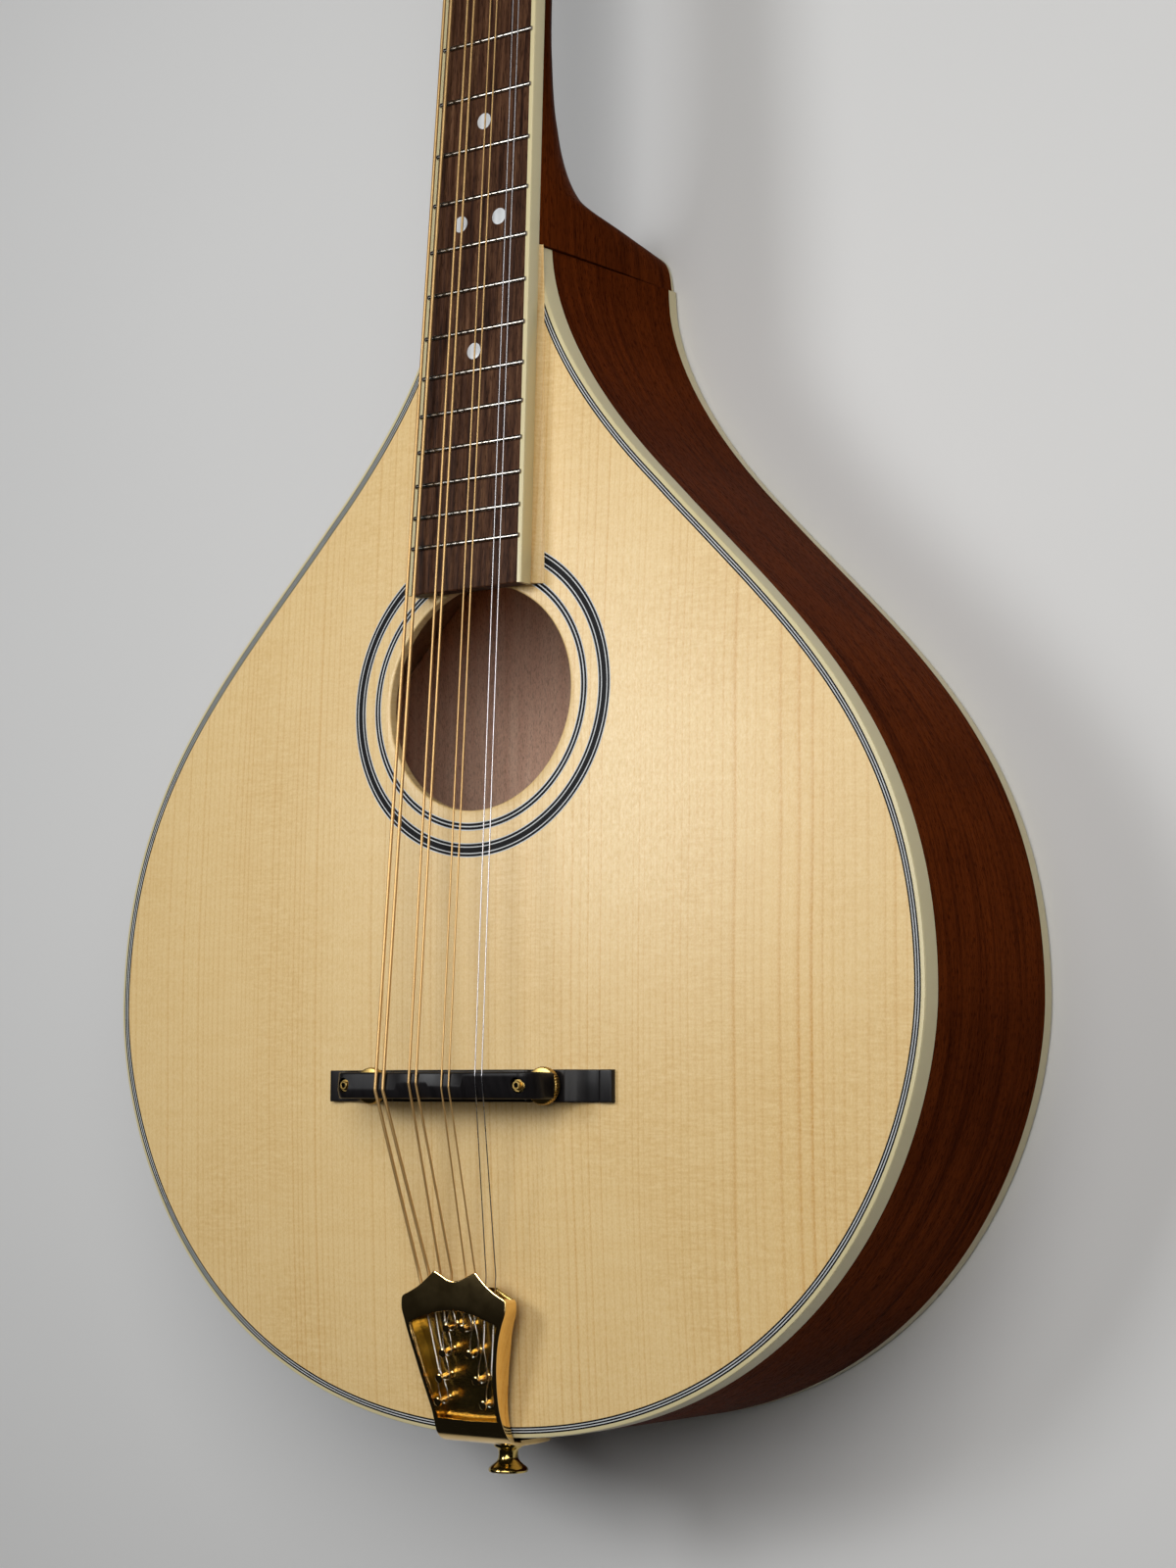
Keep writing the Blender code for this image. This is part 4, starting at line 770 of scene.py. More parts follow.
# heel cap: thin rounded plate
CAP = curve(((17.55, 258.7), (17.5, 259.3), (17.1, 262.0), (16.6, 264.5), (15.7, 267.0), (14.3, 269.0), (12.2, 270.7), (9.2, 272.0),
             (5.2, 272.9), (0.0, 273.2)), 4)
cap_rows = []
for inset, z in ((0.5, -DEPTH + 0.1), (0.15, -DEPTH + 0.22), (0.0, -DEPTH + 0.5), (0.0, HEEL_Z - 0.02)):
    half = [(float(x) * (1.0 - inset / 17.5), float(y) - inset * max(0.0, (float(y) - 262.0) / 11.2)) for x, y in CAP]
    cap_rows.append([(x, y, z) for x, y in half] + [(-x, y, z) for x, y in half[:-1][::-1]])
ob = skin("heel_plate", cap_rows, CREAM, smooth=40)
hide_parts("heel_cap")

# ------------------------------------------------------------------ fretboard
yb = [BOARD_END, BOARD_END + 0.3] + list(np.linspace(BOARD_END + 8, SCALE - 0.4, 24))
loops = []
for y in yb:
    w = half_w(y) - 0.05
    zt = plane(y) - FRET_H - (0.2 if y == BOARD_END else 0.0)
    zb = plane(y) - FRET_H - BOARD_T
    loops.append([(w, y, zt), (w * 0.5, y, zt), (0, y, zt), (-w * 0.5, y, zt), (-w, y, zt), (-w, y, zb), (w, y, zb)])
ob = skin("fingerboard", loops, ROSEWOOD, smooth=30)
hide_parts("fretboard")
for sx, nm in ((-1, "bass"), (1, "treble")):
    loops = []
    for y in yb:
        w, z1 = half_w(y), plane(y) - FRET_H
        z0 = z1 - BOARD_T - 0.12
        o = w + FB_BIND
        loops.append([(sx * (w - 0.1), y, z1), (sx * (o - 0.55), y, z1 + 0.01), (sx * (o - 0.22), y, z1 - 0.08),
                      (sx * (o - 0.04), y, z1 - 0.30), (sx * o, y, z1 - 0.65), (sx * o, y, z0 + 0.3),
                      (sx * (o - 0.1), y, z0), (sx * (w - 0.1), y, z0)])
    ob = skin("board_edge_" + nm, loops, CREAM, smooth=40)
    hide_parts("fretboard_binding_" + nm)


def fret_y(n):
    return SCALE * 2 ** (-n / 12)


for k in range(1, 21):
    y = fret_y(k)
    w = half_w(y) + 0.62
    z0 = plane(y) - FRET_H
    loops = []
    ends = ((0.0, 0.18, 0.35), (0.06, 0.50, 0.68), (0.20, 0.78, 0.88), (0.42, 0.94, 0.97), (0.75, 1.0, 1.0))
    rows = [(-w + d, h, f) for d, h, f in ends] + [(0.0, 1.0, 1.0)] + [(w - d, h, f) for d, h, f in ends[::-1]]
    for x, h, f in rows:
        row = [(x, y - 0.82 * f, z0 - 0.25)]
        for t in range(11):
            a = math.pi * t / 10
            row.append((x, y - 0.82 * f * math.cos(a), z0 + 0.04 + (FRET_H - 0.05) * h * math.sin(a) ** 0.8))
        row.append((x, y + 0.82 * f, z0 - 0.25))
        loops.append(row)
    skin("fret_%d" % k, loops, FRETM, smooth=50)

for k in (3, 5, 7, 10, 12, 15):
    y = 0.5 * (fret_y(k) + fret_y(k - 1))
    for j, x in enumerate((-7.5, 7.5) if k == 12 else (0.0,)):
        rows = []
        for r, dz in ((2.6, -1.0), (2.6, 0.02), (2.45, 0.06), (1.2, 0.08)):
            rows.append([(x + r * math.cos(a), y + r * math.sin(a), plane(y + r * math.sin(a)) - FRET_H + dz)
                         for a in np.linspace(0, 2 * math.pi, 41)[:-1]])
        skin("dot_%d_%d" % (k, j), rows, PEARL)

# wedge between the board's extension and the arched top: concave flanks with a small lip
loops = []
for i in range(41):
    f = i / 40
    y = BOARD_END + 0.6 + (JOINT_Y - 0.9 - BOARD_END) * f
    zt = plane(y) - FRET_H - BOARD_T - 0.1
    w = half_w(y) + FB_BIND - 0.05
    flare = 2.6 - 1.7 * f
    zb = min(dome(w + flare, y) + 0.02, zt - 0.15)
    hgt = zt - zb
    flank = []
    for t in np.linspace(0, 1, 11):
        flank.append((w + (flare - 0.5) * t ** 2.2, zt - hgt * t * 0.94))
    flank += [(w + flare - 0.25, zb + min(0.34, hgt * 0.05 + 0.05)), (w + flare, zb + min(0.15, hgt * 0.03)), (w + flare, zb)]
    bot = [(x, min(dome(x, y) + 0.02, zt - 0.15)) for x in np.linspace(w + flare - 1.0, -(w + flare - 1.0), 9)]
    row = [(x, y, z) for x, z in flank] + [(x, y, z) for x, z in bot] + [(-x, y, z) for x, z in flank[::-1]]
    loops.append(row)
ob = skin("board_wedge", loops, RISER, smooth=40)
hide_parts("fretboard_riser")

# nut with its eight slots
w = half_w(SCALE) + FB_BIND - 0.3
xs = [-w, -w + 0.12, -w + 0.4, w - 0.4, w - 0.12, w]
for key, x0 in NUT_X.items():
    r = STRING_D[key] / 2 + 0.04
    xs += [x0 + r * t for t in (-1.3, -1.02, -0.9, -0.6, -0.3, 0, 0.3, 0.6, 0.9, 1.02, 1.3)]
loops = []
for x in sorted(xs):
    d = 0.0
    for key, x0 in NUT_X.items():
        r = STRING_D[key] / 2 + 0.04
        if abs(x - x0) < r:
            d = max(0.0, 0.30 - STRING_D[key] / 2 + math.sqrt(r * r - (x - x0) ** 2))
    e = 0.35 if abs(x) > w - 0.05 else (0.1 if abs(x) > w - 0.2 else 0.0)
    loops.append([(x, SCALE, neck_top(SCALE) + 0.02), (x, SCALE, plane(SCALE) + 0.65 - d - e),
                  (x, SCALE + 0.35, plane(SCALE) + 0.88 - d - e), (x, SCALE + 2.0, plane(SCALE) + 0.82 - d - e),
                  (x, SCALE + 4.0, plane(SCALE) + 0.25 - d - e), (x, NUT_Y1, plane(SCALE) - 0.5 - d - e),
                  (x, NUT_Y1, neck_top(NUT_Y1) + 0.02)])
ob = skin("string_nut", loops, BONE, smooth=35)
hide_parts("nut")

# ------------------------------------------------------------------ bridge
prof = curve([(26.2, 9.5), (27.2, 9.2), (38.1, 9.2)], 6).tolist()
prof = [(0, 10.7), (8, 10.7), (16, 10.7), (24.6, 10.7), (25.2, 10.62), (25.8, 10.2)] + prof
prof += curve([(38.6, 9.15), (39.3, 8.80), (40.4, 8.15), (42.0, 7.35), (44.5, 6.65), (47.0, 6.36), (48.7, 6.35), (49.1, 6.45),
               (49.4, 6.70), (49.9, 6.80), (53.2, 6.80)], 5).tolist()
prof += [(53.5, 6.74), (53.7, 6.50)]
prof = [(-x, z) for x, z in prof[:0:-1]] + prof
loops = []
for x, z in prof:
    y0, y1 = BR_Y - 4.8, BR_Y + 4.8
    e = 0.22
    x += BR_X
    b0, b1 = dome(x, y0) + 0.02, dome(x, y1) + 0.02
    loops.append([(x, y0, b0), (x, y0, z - 0.35), (x, y0 + 0.07, z - 0.14), (x, y0 + e, z - 0.03), (x, y0 + 0.5, z),
                  (x, 0.5 * (y0 + y1), z), (x, y1 - 0.5, z), (x, y1 - e, z - 0.03), (x, y1 - 0.07, z - 0.14),
                  (x, y1, z - 0.35), (x, y1, b1), (x, 0.5 * (y0 + y1), 0.5 * (b0 + b1))])
ob = skin("bridge_foot", loops, EBONY, smooth=40)
POSTS = (BR_X - BR_POST_X, BR_X + BR_POST_X)
cut(ob, [rod_cutter((x, BR_Y, 0), (0, 0, 1), 6.9, 20, 2.2) for x in POSTS], 40)
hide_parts("bridge_base")


def crown(x):
    """Where the crown of the saddle stands under each course."""
    return float(np.interp(x, [-12.5, -11.7, -0.4, 0.4, 12.5, 13.3],
                           [SADDLE_Y["g"], SADDLE_Y["d"], SADDLE_Y["d"], SADDLE_Y["a"], SADDLE_Y["a"], SADDLE_Y["e"]]))


loops = []
y0, y1 = BR_Y - 3.9, BR_Y + 3.9
xs = [-38.0, -37.9, -37.6, -37.2, -36.6, -35.6, -34.6, -33.6, -32.4, -28, -24, -18, -12.5, -11.7, -8, -4, -0.4, 0.4, 4,
      8, 12.5, 13.3, 18, 24, 28, 32.4, 33.6, 34.6, 35.6, 36.6, 37.2, 37.6, 37.9, 38.0]
for x in xs:
    ax = abs(x)
    c = crown(x)
    e = max(0.0, ax - 33.0) / 5.0
    top = SADDLE_TOP - 5.0 * e * e
    rim = {38.0: 0.55, 37.9: 0.28, 37.6: 0.10, 37.2: 0.02}.get(ax, 0.0)
    bot = SADDLE_BOT + rim
    top -= rim
    a0, a1 = y0 + rim, y1 - rim
    za, zb = top - 0.085 * (a1 - c), top - 0.33 * (c - 0.4 - a0)
    x += BR_X
    loops.append([(x, a0, bot + 0.3), (x, a0 + 0.25, bot), (x, a1 - 0.25, bot), (x, a1, bot + 0.3),
                  (x, a1, za - 0.5), (x, a1 - 0.09, za - 0.22), (x, a1 - 0.32, za - 0.02), (x, a1 - 0.8, za + 0.05),
                  (x, c + 0.4, top), (x, c, top + 0.02), (x, c - 0.4, top), (x, 0.5 * (c + a0), 0.5 * (top + zb) + 0.10),
                  (x, a0 + 0.35, zb + 0.06), (x, a0 + 0.1, zb - 0.15), (x, a0, zb - 0.45)])
ob = skin("bridge_top", loops, EBONY, body="saddle", smooth=40)
cut(ob, [rod_cutter((x, BR_Y, 0), (0, 0, 1), 5, 40, 2.3) for x in POSTS], 40)
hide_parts("bridge_saddle")

HEX = 36


def knurl(t, h, r):
    return r * (1.0 - 0.040 * (0.5 + 0.5 * math.cos(40 * t))) if r > 5.4 else r


def hexagon(t, r):
    return r * math.cos(math.pi / 6) / math.cos((t % (math.pi / 3)) - math.pi / 6)


for x, nm in zip(POSTS, ("bass", "treble")):
    zt = SADDLE_TOP - 0.35
    prof = [(7.3, 1.5), (7.5, 1.8)]
    z = 7.8
    while z < zt - 1.8:
        prof += [(z, 1.9), (z + 0.24, 1.9), (z + 0.35, 1.66), (z + 0.59, 1.66)]
        z += 0.7
    prof += [(zt - 1.1, 1.9), (zt - 1.0, 1.8), (zt - 1.0, 1.36), (zt - 0.15, 1.32), (zt, 1.18), (zt, 0.92), (zt - 0.12, 0.80),
             (zt - 1.8, 0.78), (zt - 1.9, 0.2)]
    ob = lathe("post_screw_" + nm, (x, BR_Y, 0), (0, 0, 1), prof, GOLD_DIM, n=HEX, smooth=35,
               rad=lambda t, h, r, zt=zt: hexagon(t, r) if (r < 0.95 and h > 20 and r > 0.5) else r)
    # the hex socket's inner faces take the black material: painted shade in the recess
    two_sided(ob, BLACK, lambda c, nn, x=x, zt=zt: math.hypot(c.x * 1000 - to_m((x, 0, 0))[0] * 1000,
                                                             c.y * 1000 - to_m((0, BR_Y, 0))[1] * 1000) < 0.84
              and c.z < to_m((0, 0, zt - 0.15))[2])
    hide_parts("bridge_post_" + nm)
    prof = [(10.65, 2.2), (10.65, 5.1), (10.75, 5.35), (11.0, 5.6), (11.5, 5.6), (12.0, 5.6), (12.5, 5.6), (12.75, 5.35),
            (12.85, 5.1), (12.85, 3.3), (12.7, 3.1), (12.7, 2.5), (12.85, 2.35), (12.8, 2.2)]
    ob = lathe("thumb_wheel_" + nm, (x, BR_Y, 0), (0, 0, 1), prof, GOLD_DIM, body="wheel_" + nm, n=264,
               closed=True, rad=knurl, smooth=28)
    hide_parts("thumbwheel_" + nm)

# ------------------------------------------------------------------ tailpiece
TP_TOP = curve(((-55.0, 12.3), (-60.0, 12.9), (-66.0, 13.4), (-72.0, 13.6), (-77.0, 13.3), (-82.0, 12.4), (-88.0, 10.9),
                (-94.0, 9.0), (-100.0, 6.7), (-104.0, 5.0), (-106.6, 3.4), (-108.3, 1.2), (-109.15, -1.2),
                (-109.4, -4.0)), 6)[::-1]
TP_LOW = np.array(((-109.4, -4.0), (-107.9, -3.9), (-107.8, 0.4), (-106.0, 1.1), (-101.0, 1.6), (-91.5, 3.1), (-83.0, 4.8),
                   (-75.0, 6.4), (-66.0, 7.1), (-55.0, 7.2)))
TC = np.array((0.0, -84.0))


def tp_z(y):
    return float(np.interp(y, TP_TOP[:, 0], TP_TOP[:, 1]))


def low_z(y):
    return float(np.interp(y, TP_LOW[:, 0], TP_LOW[:, 1]))


def plan_half():
    a = curve([(0, -60.8), (2.7, -60.25), (5.3, -59.0), (7.1, -58.15), (7.65, -57.98)], 4)
    b = curve([(8.1, -58.05), (9.7, -59.6), (13.0, -62.3), (16.6, -64.35), (18.6, -65.25)], 4)
    c = curve([(19.3, -65.7), (19.65, -66.6), (19.5, -69.5), (18.3, -73.0), (16.9, -77.5), (15.6, -82.6), (14.5, -88.0),
               (13.5, -94.0), (12.9, -99.0), (12.95, -103.0), (13.3, -106.0), (13.6, -109.0)], 5)
    d = [(13.5, -109.3), (13.2, -109.4), (10.5, -109.4), (7.5, -109.4), (4.5, -109.4), (1.5, -109.4)]
    return np.vstack([a, b, c, np.array(d)])


h = plan_half()
PLAN = np.vstack([h, h[1:][::-1] * np.array([-1, 1])])[::-1]      # counter-clockwise
dn = (np.roll(PLAN, -1, axis=0) - np.roll(PLAN, 1, axis=0))
PLAN_N = np.c_[-dn[:, 1], dn[:, 0]]
PLAN_N /= np.linalg.norm(PLAN_N, axis=1)[:, None]                  # points inwards
if np.mean(np.sum(PLAN_N * (TC - PLAN), axis=1)) < 0:
    PLAN_N = -PLAN_N
WIN = [(-11.2, -101.7), (0.0, -102.0), (11.2, -101.7), (11.25, -99.0), (11.9, -94.0), (12.9, -88.0), (13.75, -84.0),
       (15.4, -77.0), (16.4, -73.7)]
WIN += [(16.4 - 32.8 * k / 24, -73.4 + 3.9 * math.sin(math.pi * k / 24)) for k in range(1, 24)]
WIN += [(-16.4, -73.7), (-15.4, -77.0), (-13.75, -84.0), (-12.9, -88.0), (-11.9, -94.0), (-11.25, -99.0)]
WIN = np.array(WIN)


def hit(p, poly):
    """Where the ray from the middle of the tailpiece through p crosses a polygon."""
    d = p - TC
    best = None
    for a, b in zip(poly, np.roll(poly, -1, axis=0)):
        e = b - a
        den = d[0] * e[1] - d[1] * e[0]
        if abs(den) < 1e-9:
            continue
        w = a - TC
        t = (w[0] * e[1] - w[1] * e[0]) / den
        s = (w[0] * d[1] - w[1] * d[0]) / den
        if t > 0 and -1e-6 <= s <= 1 + 1e-6 and (best is None or t < best):
            best = t
    return TC + d * best


def lift(y):
    """How far the cover's wall and the floor stand above the casting's lowest line."""
    return float(np.interp(y, [-107.0, -101.0, -92.0, -80.0, -68.0, -60.0], [0.0, 0.75, 1.15, 0.75, 1.25, 1.45]))


rows = []
for p, nr in zip(PLAN, PLAN_N):
    w = hit(p, WIN)
    out = (w - TC) / np.linalg.norm(w - TC)
    front = p[1] > -65.6
    q = p + nr * 1.25
    zt = tp_z(p[1])
    zb = zt - 0.62 if front else low_z(p[1]) + lift(p[1])
    foot = p + nr * (0.34 if front else 0.0)
    row = [(*foot, zb), (*p, max(zb + 0.02, zt - 0.32)), (*(p + nr * 0.03), max(zb + 0.03, zt - 0.14)),
           (*(p + nr * 0.11), max(zb + 0.04, tp_z(p[1]) - 0.04))]
    wall = np.linalg.norm(w - p)
    a, b = p + nr * min(0.26, 0.2 * wall), w + out * min(0.24, 0.2 * wall)
    row.append((*a, max(zb + 0.05, tp_z(a[1]))))
    for f in (0.03, 0.07, 0.12, 0.18, 0.25, 0.34, 0.45, 0.58, 0.72, 0.86, 1.0):
        g = a + (b - a) * f
        row.append((*g, tp_z(g[1])))
    row += [(*(w + out * min(0.10, 0.1 * wall)), tp_z(w[1]) - 0.05), (*(w + out * 0.02), tp_z(w[1]) - 0.18),
            (*w, tp_z(w[1]) - 0.4), (*w, tp_z(w[1]) - 1.3)]
    zq = tp_z(q[1]) - 1.3
    row += [(*q, zq - 0.01), (*q, min(zq - 0.02, low_z(q[1]) + lift(q[1]) + 0.5) if not front else zq - 0.02)]
    rows.append(row)
ob = skin("tail_cover", rows, GOLD, closed=True, smooth=38)
mid = Vector(to_m((TC[0], TC[1], 8.0)))


def inner_face(c, nn):
    d = Vector((mid.x - c.x, mid.y - c.y, 0.0)).normalized()
    return nn.z < -0.5 or (abs(nn.z) < 0.5 and d.dot(nn) > 0.25 and c.z < to_m((0, 0, tp_z(c.y * 1000 + YC) - 0.9))[2])


# the inner faces get the darker inside gold: painted shade inside the cover
two_sided(ob, GOLD_IN, inner_face)
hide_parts("tailpiece")
# the tailpiece floor is all in the darker inside gold: painted shade
loops = []
for f, top in [(f, 1) for f in (0.03, 0.25, 0.5, 0.75, 0.9, 0.985)] + [(1.0, 0.7)] + [(f, 0) for f in (1.0, 0.985, 0.75, 0.5, 0.25, 0.03)]:
    row = []
    for p, nr in zip(PLAN, PLAN_N):
        edge = p + nr * 0.12
        g = TC + (edge - TC) * f
        g[1] = min(max(g[1], -107.7), -62.4 - 0.6 * (1.0 - f))
        row.append((*g, low_z(g[1]) + lift(g[1]) * 0.9 + 0.02 + top * 0.85))
    loops.append(row)
ob = skin("tail_floor", loops, GOLD_IN, smooth=38)
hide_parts("tailpiece")
# hanger plate down the end of the body
hang = curve([(13.3, -3.2), (13.2, -8.0), (12.9, -14.0), (11.4, -20.6), (7.2, -25.6), (0.0, -27.5)], 6)
hang = np.vstack([hang, hang[:-1][::-1] * np.array([-1, 1])])
hc = np.array((0.0, -14.0))
loops = []
for y, k in ((-107.7, 0.0), (-109.0, 0.0), (-109.27, 0.1), (-109.4, 0.35)):
    loops.append([(*(hc + (p - hc) * (1 - k / max(1.0, np.linalg.norm(p - hc))))[:1], y,
                   (hc + (p - hc) * (1 - k / max(1.0, np.linalg.norm(p - hc))))[1]) for p in hang])
ob = skin("tail_hanger", loops, GOLD, smooth=38)
cut(ob, [rod_cutter((0, -125, ENDPIN_Z), (0, 1, 0), 0, 25, 3.4)], 38)
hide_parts("tailpiece")
# hooks: leaning pins with a flanged head
PIN = {}
for sx in (-1, 1):
    for i, (x, y, zt, zl) in enumerate(HOOKS):
        base = Vector((sx * x, y + 1.1, low_z(y + 1.1) + lift(y + 1.1) * 0.9 + 0.75))
        tip = Vector((sx * x, y, zt))
        ax = tip - base
        L = ax.length
        prof = [(0.0, 1.35), (0.25, 1.0), (0.5, 0.84), (L - 0.95, 0.78), (L - 0.85, 0.84), (L - 0.62, 1.22), (L - 0.40, 1.36),
                (L - 0.18, 1.30), (L - 0.04, 1.05), (L, 0.6)]
        ob = lathe("hook_pin_%s%d" % ("b" if sx < 0 else "t", i), base, ax, prof, GOLD, n=24, smooth=40)
        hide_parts("tailpiece")
        PIN[(sx, i)] = (base, ax.normalized())

prof = [(-92.0, 2.4), (-104.0, 3.0), (-109.45, 3.0), (-109.5, 4.1), (-109.75, 4.4), (-111.0, 4.45), (-111.4, 4.2),
        (-111.9, 3.4), (-112.5, 3.05), (-113.6, 2.95), (-114.8, 3.1), (-115.8, 3.7), (-116.5, 4.5), (-117.1, 5.3),
        (-117.6, 5.85), (-118.2, 6.05), (-118.7, 5.9), (-118.95, 5.3), (-119.0, 4.2), (-118.75, 3.8), (-118.75, 1.0)]
ob = lathe("strap_pin", (0, 0, ENDPIN_Z), (0, 1, 0), prof, GOLD_PIN, n=56, smooth=35)
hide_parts("end_pin")

# ------------------------------------------------------------------ tuners
NB = -HEAD_T - 0.3
NW = NB - 3.7


def plate_rows(pts, steps):
    """Outline of (x, u) points in the head's frame, at (inset, n) steps."""
    pts = np.array(pts, float)
    c = pts.mean(axis=0)
    rows = []
    for inset, n in steps:
        row = []
        for p in pts:
            d = p - c
            g = c + np.array([math.copysign(max(0.0, abs(d[0]) - inset), d[0]), math.copysign(max(0.0, abs(d[1]) - inset), d[1])])
            row.append(head(g[1], g[0], n))
        rows.append(row)
    return rows


def rounded(x0, x1, u0, u1, r, n=6):
    out = []
    for cx, cu, a0 in ((x1 - r, u1 - r, 0), (x0 + r, u1 - r, 90), (x0 + r, u0 + r, 180), (x1 - r, u0 + r, 270)):
        for k in range(n + 1):
            a = math.radians(a0 + 90 * k / n)
            out.append((cx + r * math.cos(a), cu + r * math.sin(a)))
    return out


for sx, nm in ((-1, "bass"), (1, "treble")):
    lo, hi = sorted((sx * 7.0, sx * 25.5))
    pl = plate_rows(rounded(lo, hi, 25.0, 116.0, 3.5), ((0.0, NB), (0.0, NB - 0.7), (0.12, NB - 0.9), (0.4, NB - 1.0)))
    ob = skin("machine_plate_" + nm, pl, GOLD, smooth=40)
    cut(ob, [rod_cutter(head(u, sx * POST_X, 0), AX_N, -30, 0, POST_R + 0.4) for u in POST_U], 40)
    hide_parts("tuner_plate_" + nm)
    for i, u in enumerate(POST_U):
        uw = u - WORM_OFF
        for j, xa in enumerate((7.8, 21.6)):
            rows = []
            for xx, ins in ((xa, 0.15), (xa + 0.12, 0.0), (xa + 1.18, 0.0), (xa + 1.3, 0.15)):
                row = [head(uw + 2.9 - ins, sx * xx, NB - 0.6)]
                for k in range(13):
                    a = math.pi * k / 12
                    row.append(head(uw + (2.9 - ins) * math.cos(a), sx * xx, NW - 0.1 - (2.6 - ins) * math.sin(a)))
                row.append(head(uw - 2.9 + ins, sx * xx, NB - 0.6))
                rows.append(row)
            ob = skin("bearing_%s_%d_%d" % (nm, i, j), rows, GOLD, smooth=40)
            cut(ob, [rod_cutter(head(uw, sx * (xa - 2), NW), AX_X * sx, 0, 6, 1.8)], 40)
            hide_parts("tuner_plate_" + nm)
    for i, u in enumerate((51.5, 74.5, 97.5)):
        # plate screws with a slotted head
        prof = [(0.0, 1.9), (0.25, 1.9), (0.6, 1.65), (0.85, 1.1), (0.95, 0.3)]
        ob = lathe("plate_screw_%s_%d" % (nm, i), head(u - 2.6, sx * 23.0, NB - 1.0), -AX_N, prof, GOLD, n=28)
        c = Vector(head(u - 2.6, sx * 23.0, NB - 1.0))
        a, b = (AX_X + AX_U * 0.35 * (i + 1)).normalized(), None
        b = AX_N.cross(a)
        cut(ob, [cutter([[c - AX_N * hh + a * p + b * q for p, q in ((3, 0.22), (-3, 0.22), (-3, -0.22), (3, -0.22))]
                         for hh in (0.5, 2.0)])], 32)


def cog(t, h, r):
    if r < 5.6:
        return r
    v = max(-1.0, min(1.0, 2.4 * math.cos(14 * t)))
    return r - 0.62 * (0.5 - 0.5 * v)


num = 0
for sx in (-1, 1):
    for u in POST_U:
        num += 1
        c = Vector(head(u - WORM_OFF, 0, NW))
        # shaft and button, flattened towards the head's face
        prof = [(7.2, 1.0), (7.35, 1.35), (7.7, 1.5), (9.5, 1.5), (9.7, 1.9), (20.9, 1.9), (21.1, 1.5), (24.8, 1.5), (25.0, 2.1),
                (26.2, 2.1), (26.5, 1.5), (31.2, 1.5), (31.8, 2.0), (32.3, 2.7), (32.9, 3.2), (33.6, 4.4), (34.4, 5.2),
                (35.6, 5.8), (37.2, 6.15), (39.0, 6.25), (41.0, 6.2), (42.8, 5.95), (44.4, 5.4), (45.7, 4.5), (46.6, 3.4),
                (47.1, 2.3), (47.35, 1.0)]

        def button(t, h, r):
            k = 0.66 if h > 33.2 else (0.83 if h > 32.5 else 1.0)
            return r * math.sqrt(math.cos(t) ** 2 + (k * math.sin(t)) ** 2)
        loops = []
        for x, r in prof:
            k = 0.66 if x > 33.2 else (0.85 if x > 32.5 else 1.0)
            loops.append([c + AX_X * (sx * x) + AX_U * (r * math.cos(2 * math.pi * j / 36))
                          + AX_N * (k * r * math.sin(2 * math.pi * j / 36)) for j in range(36)])
        ob = skin("knob_%d_shaft" % num, loops, GOLD, body="knob_%d" % num, smooth=35)
        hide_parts("tuner_knob_%d" % num)
        pts = []
        for j in range(73):
            a = 2 * math.pi * j / 18
            pts.append(c + AX_X * (sx * (10.3 + 10.0 * j / 72)) + AX_U * (1.95 * math.cos(a)) + AX_N * (1.95 * math.sin(a)))
        ob = tube("knob_%d_worm" % num, pts, [0.2] + [0.52] * 71 + [0.2], GOLD, body="knob_%d" % num, n=8)
        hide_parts("tuner_knob_%d" % num)
        # post with its gear
        prof = [(NW - 3.6, 1.5), (NW - 3.45, 1.9), (NW - 2.3, 2.15), (NW - 2.0, 2.2), (NW - 2.0, 5.3), (NW - 1.85, 5.8),
                (NW - 1.7, 6.0), (NW + 1.7, 6.0), (NW + 1.85, 5.8), (NW + 2.0, 5.3), (NW + 2.02, POST_R),
                (VENEER_T + 3.3, POST_R), (VENEER_T + 3.8, 2.9), (VENEER_T + 4.6, 2.6), (VENEER_T + 5.2, 2.5),
                (VENEER_T + 8.8, 2.5), (VENEER_T + 9.4, 2.6), (VENEER_T + 10.2, 2.9), (VENEER_T + 10.7, POST_R),
                (VENEER_T + 12.7, POST_R), (VENEER_T + 13.2, 2.85), (VENEER_T + 13.5, 2.4), (VENEER_T + 13.6, 1.6)]
        c = Vector(head(u, sx * POST_X, 0))
        ob = lathe("post_%d_turned" % num, c, AX_N, prof, GOLD, body="post_%d" % num, n=112, rad=cog, smooth=32,
                   e1=(1, 0, 0))
        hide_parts("string_post_%d" % num)
        prof = [(VENEER_T + 0.3, 3.15), (VENEER_T + 0.3, 5.3), (VENEER_T + 0.6, 5.3), (VENEER_T + 0.95, 4.9),
                (VENEER_T + 1.3, 4.0), (VENEER_T + 1.4, 3.4), (VENEER_T + 1.3, 3.15)]
        lathe("bushing_%d" % num, c, AX_N, prof, GOLD, n=40, closed=True, smooth=40)

# ------------------------------------------------------------------ strings
def lerp(a, b, n):
    a, b = Vector(a), Vector(b)
    return [a.lerp(b, t) for t in np.linspace(0, 1, n)]


def twisted(name, a, b, off, wr, pitch, flip=1.0):
    """Two thin wires laid round each other from a to b."""
    a, b = Vector(a), Vector(b)
    d = b - a
    t = d.normalized()
    side = t.cross(Vector((0, 0, 1))).normalized()
    up = side.cross(t)
    n = max(8, int(d.length / pitch * 10))
    for s in (0, 1):
        pts = []
        for i in range(n + 1):
            f = i / n
            ang = 2 * math.pi * (d.length * (1 - f)) / pitch + math.pi * s
            pts.append(a + d * f + side * (off * math.cos(ang)) + up * (off * math.sin(ang)))
        ob = tube("%s_strand%d" % (name, s), pts, wr, CORE, n=8)
        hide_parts(name)


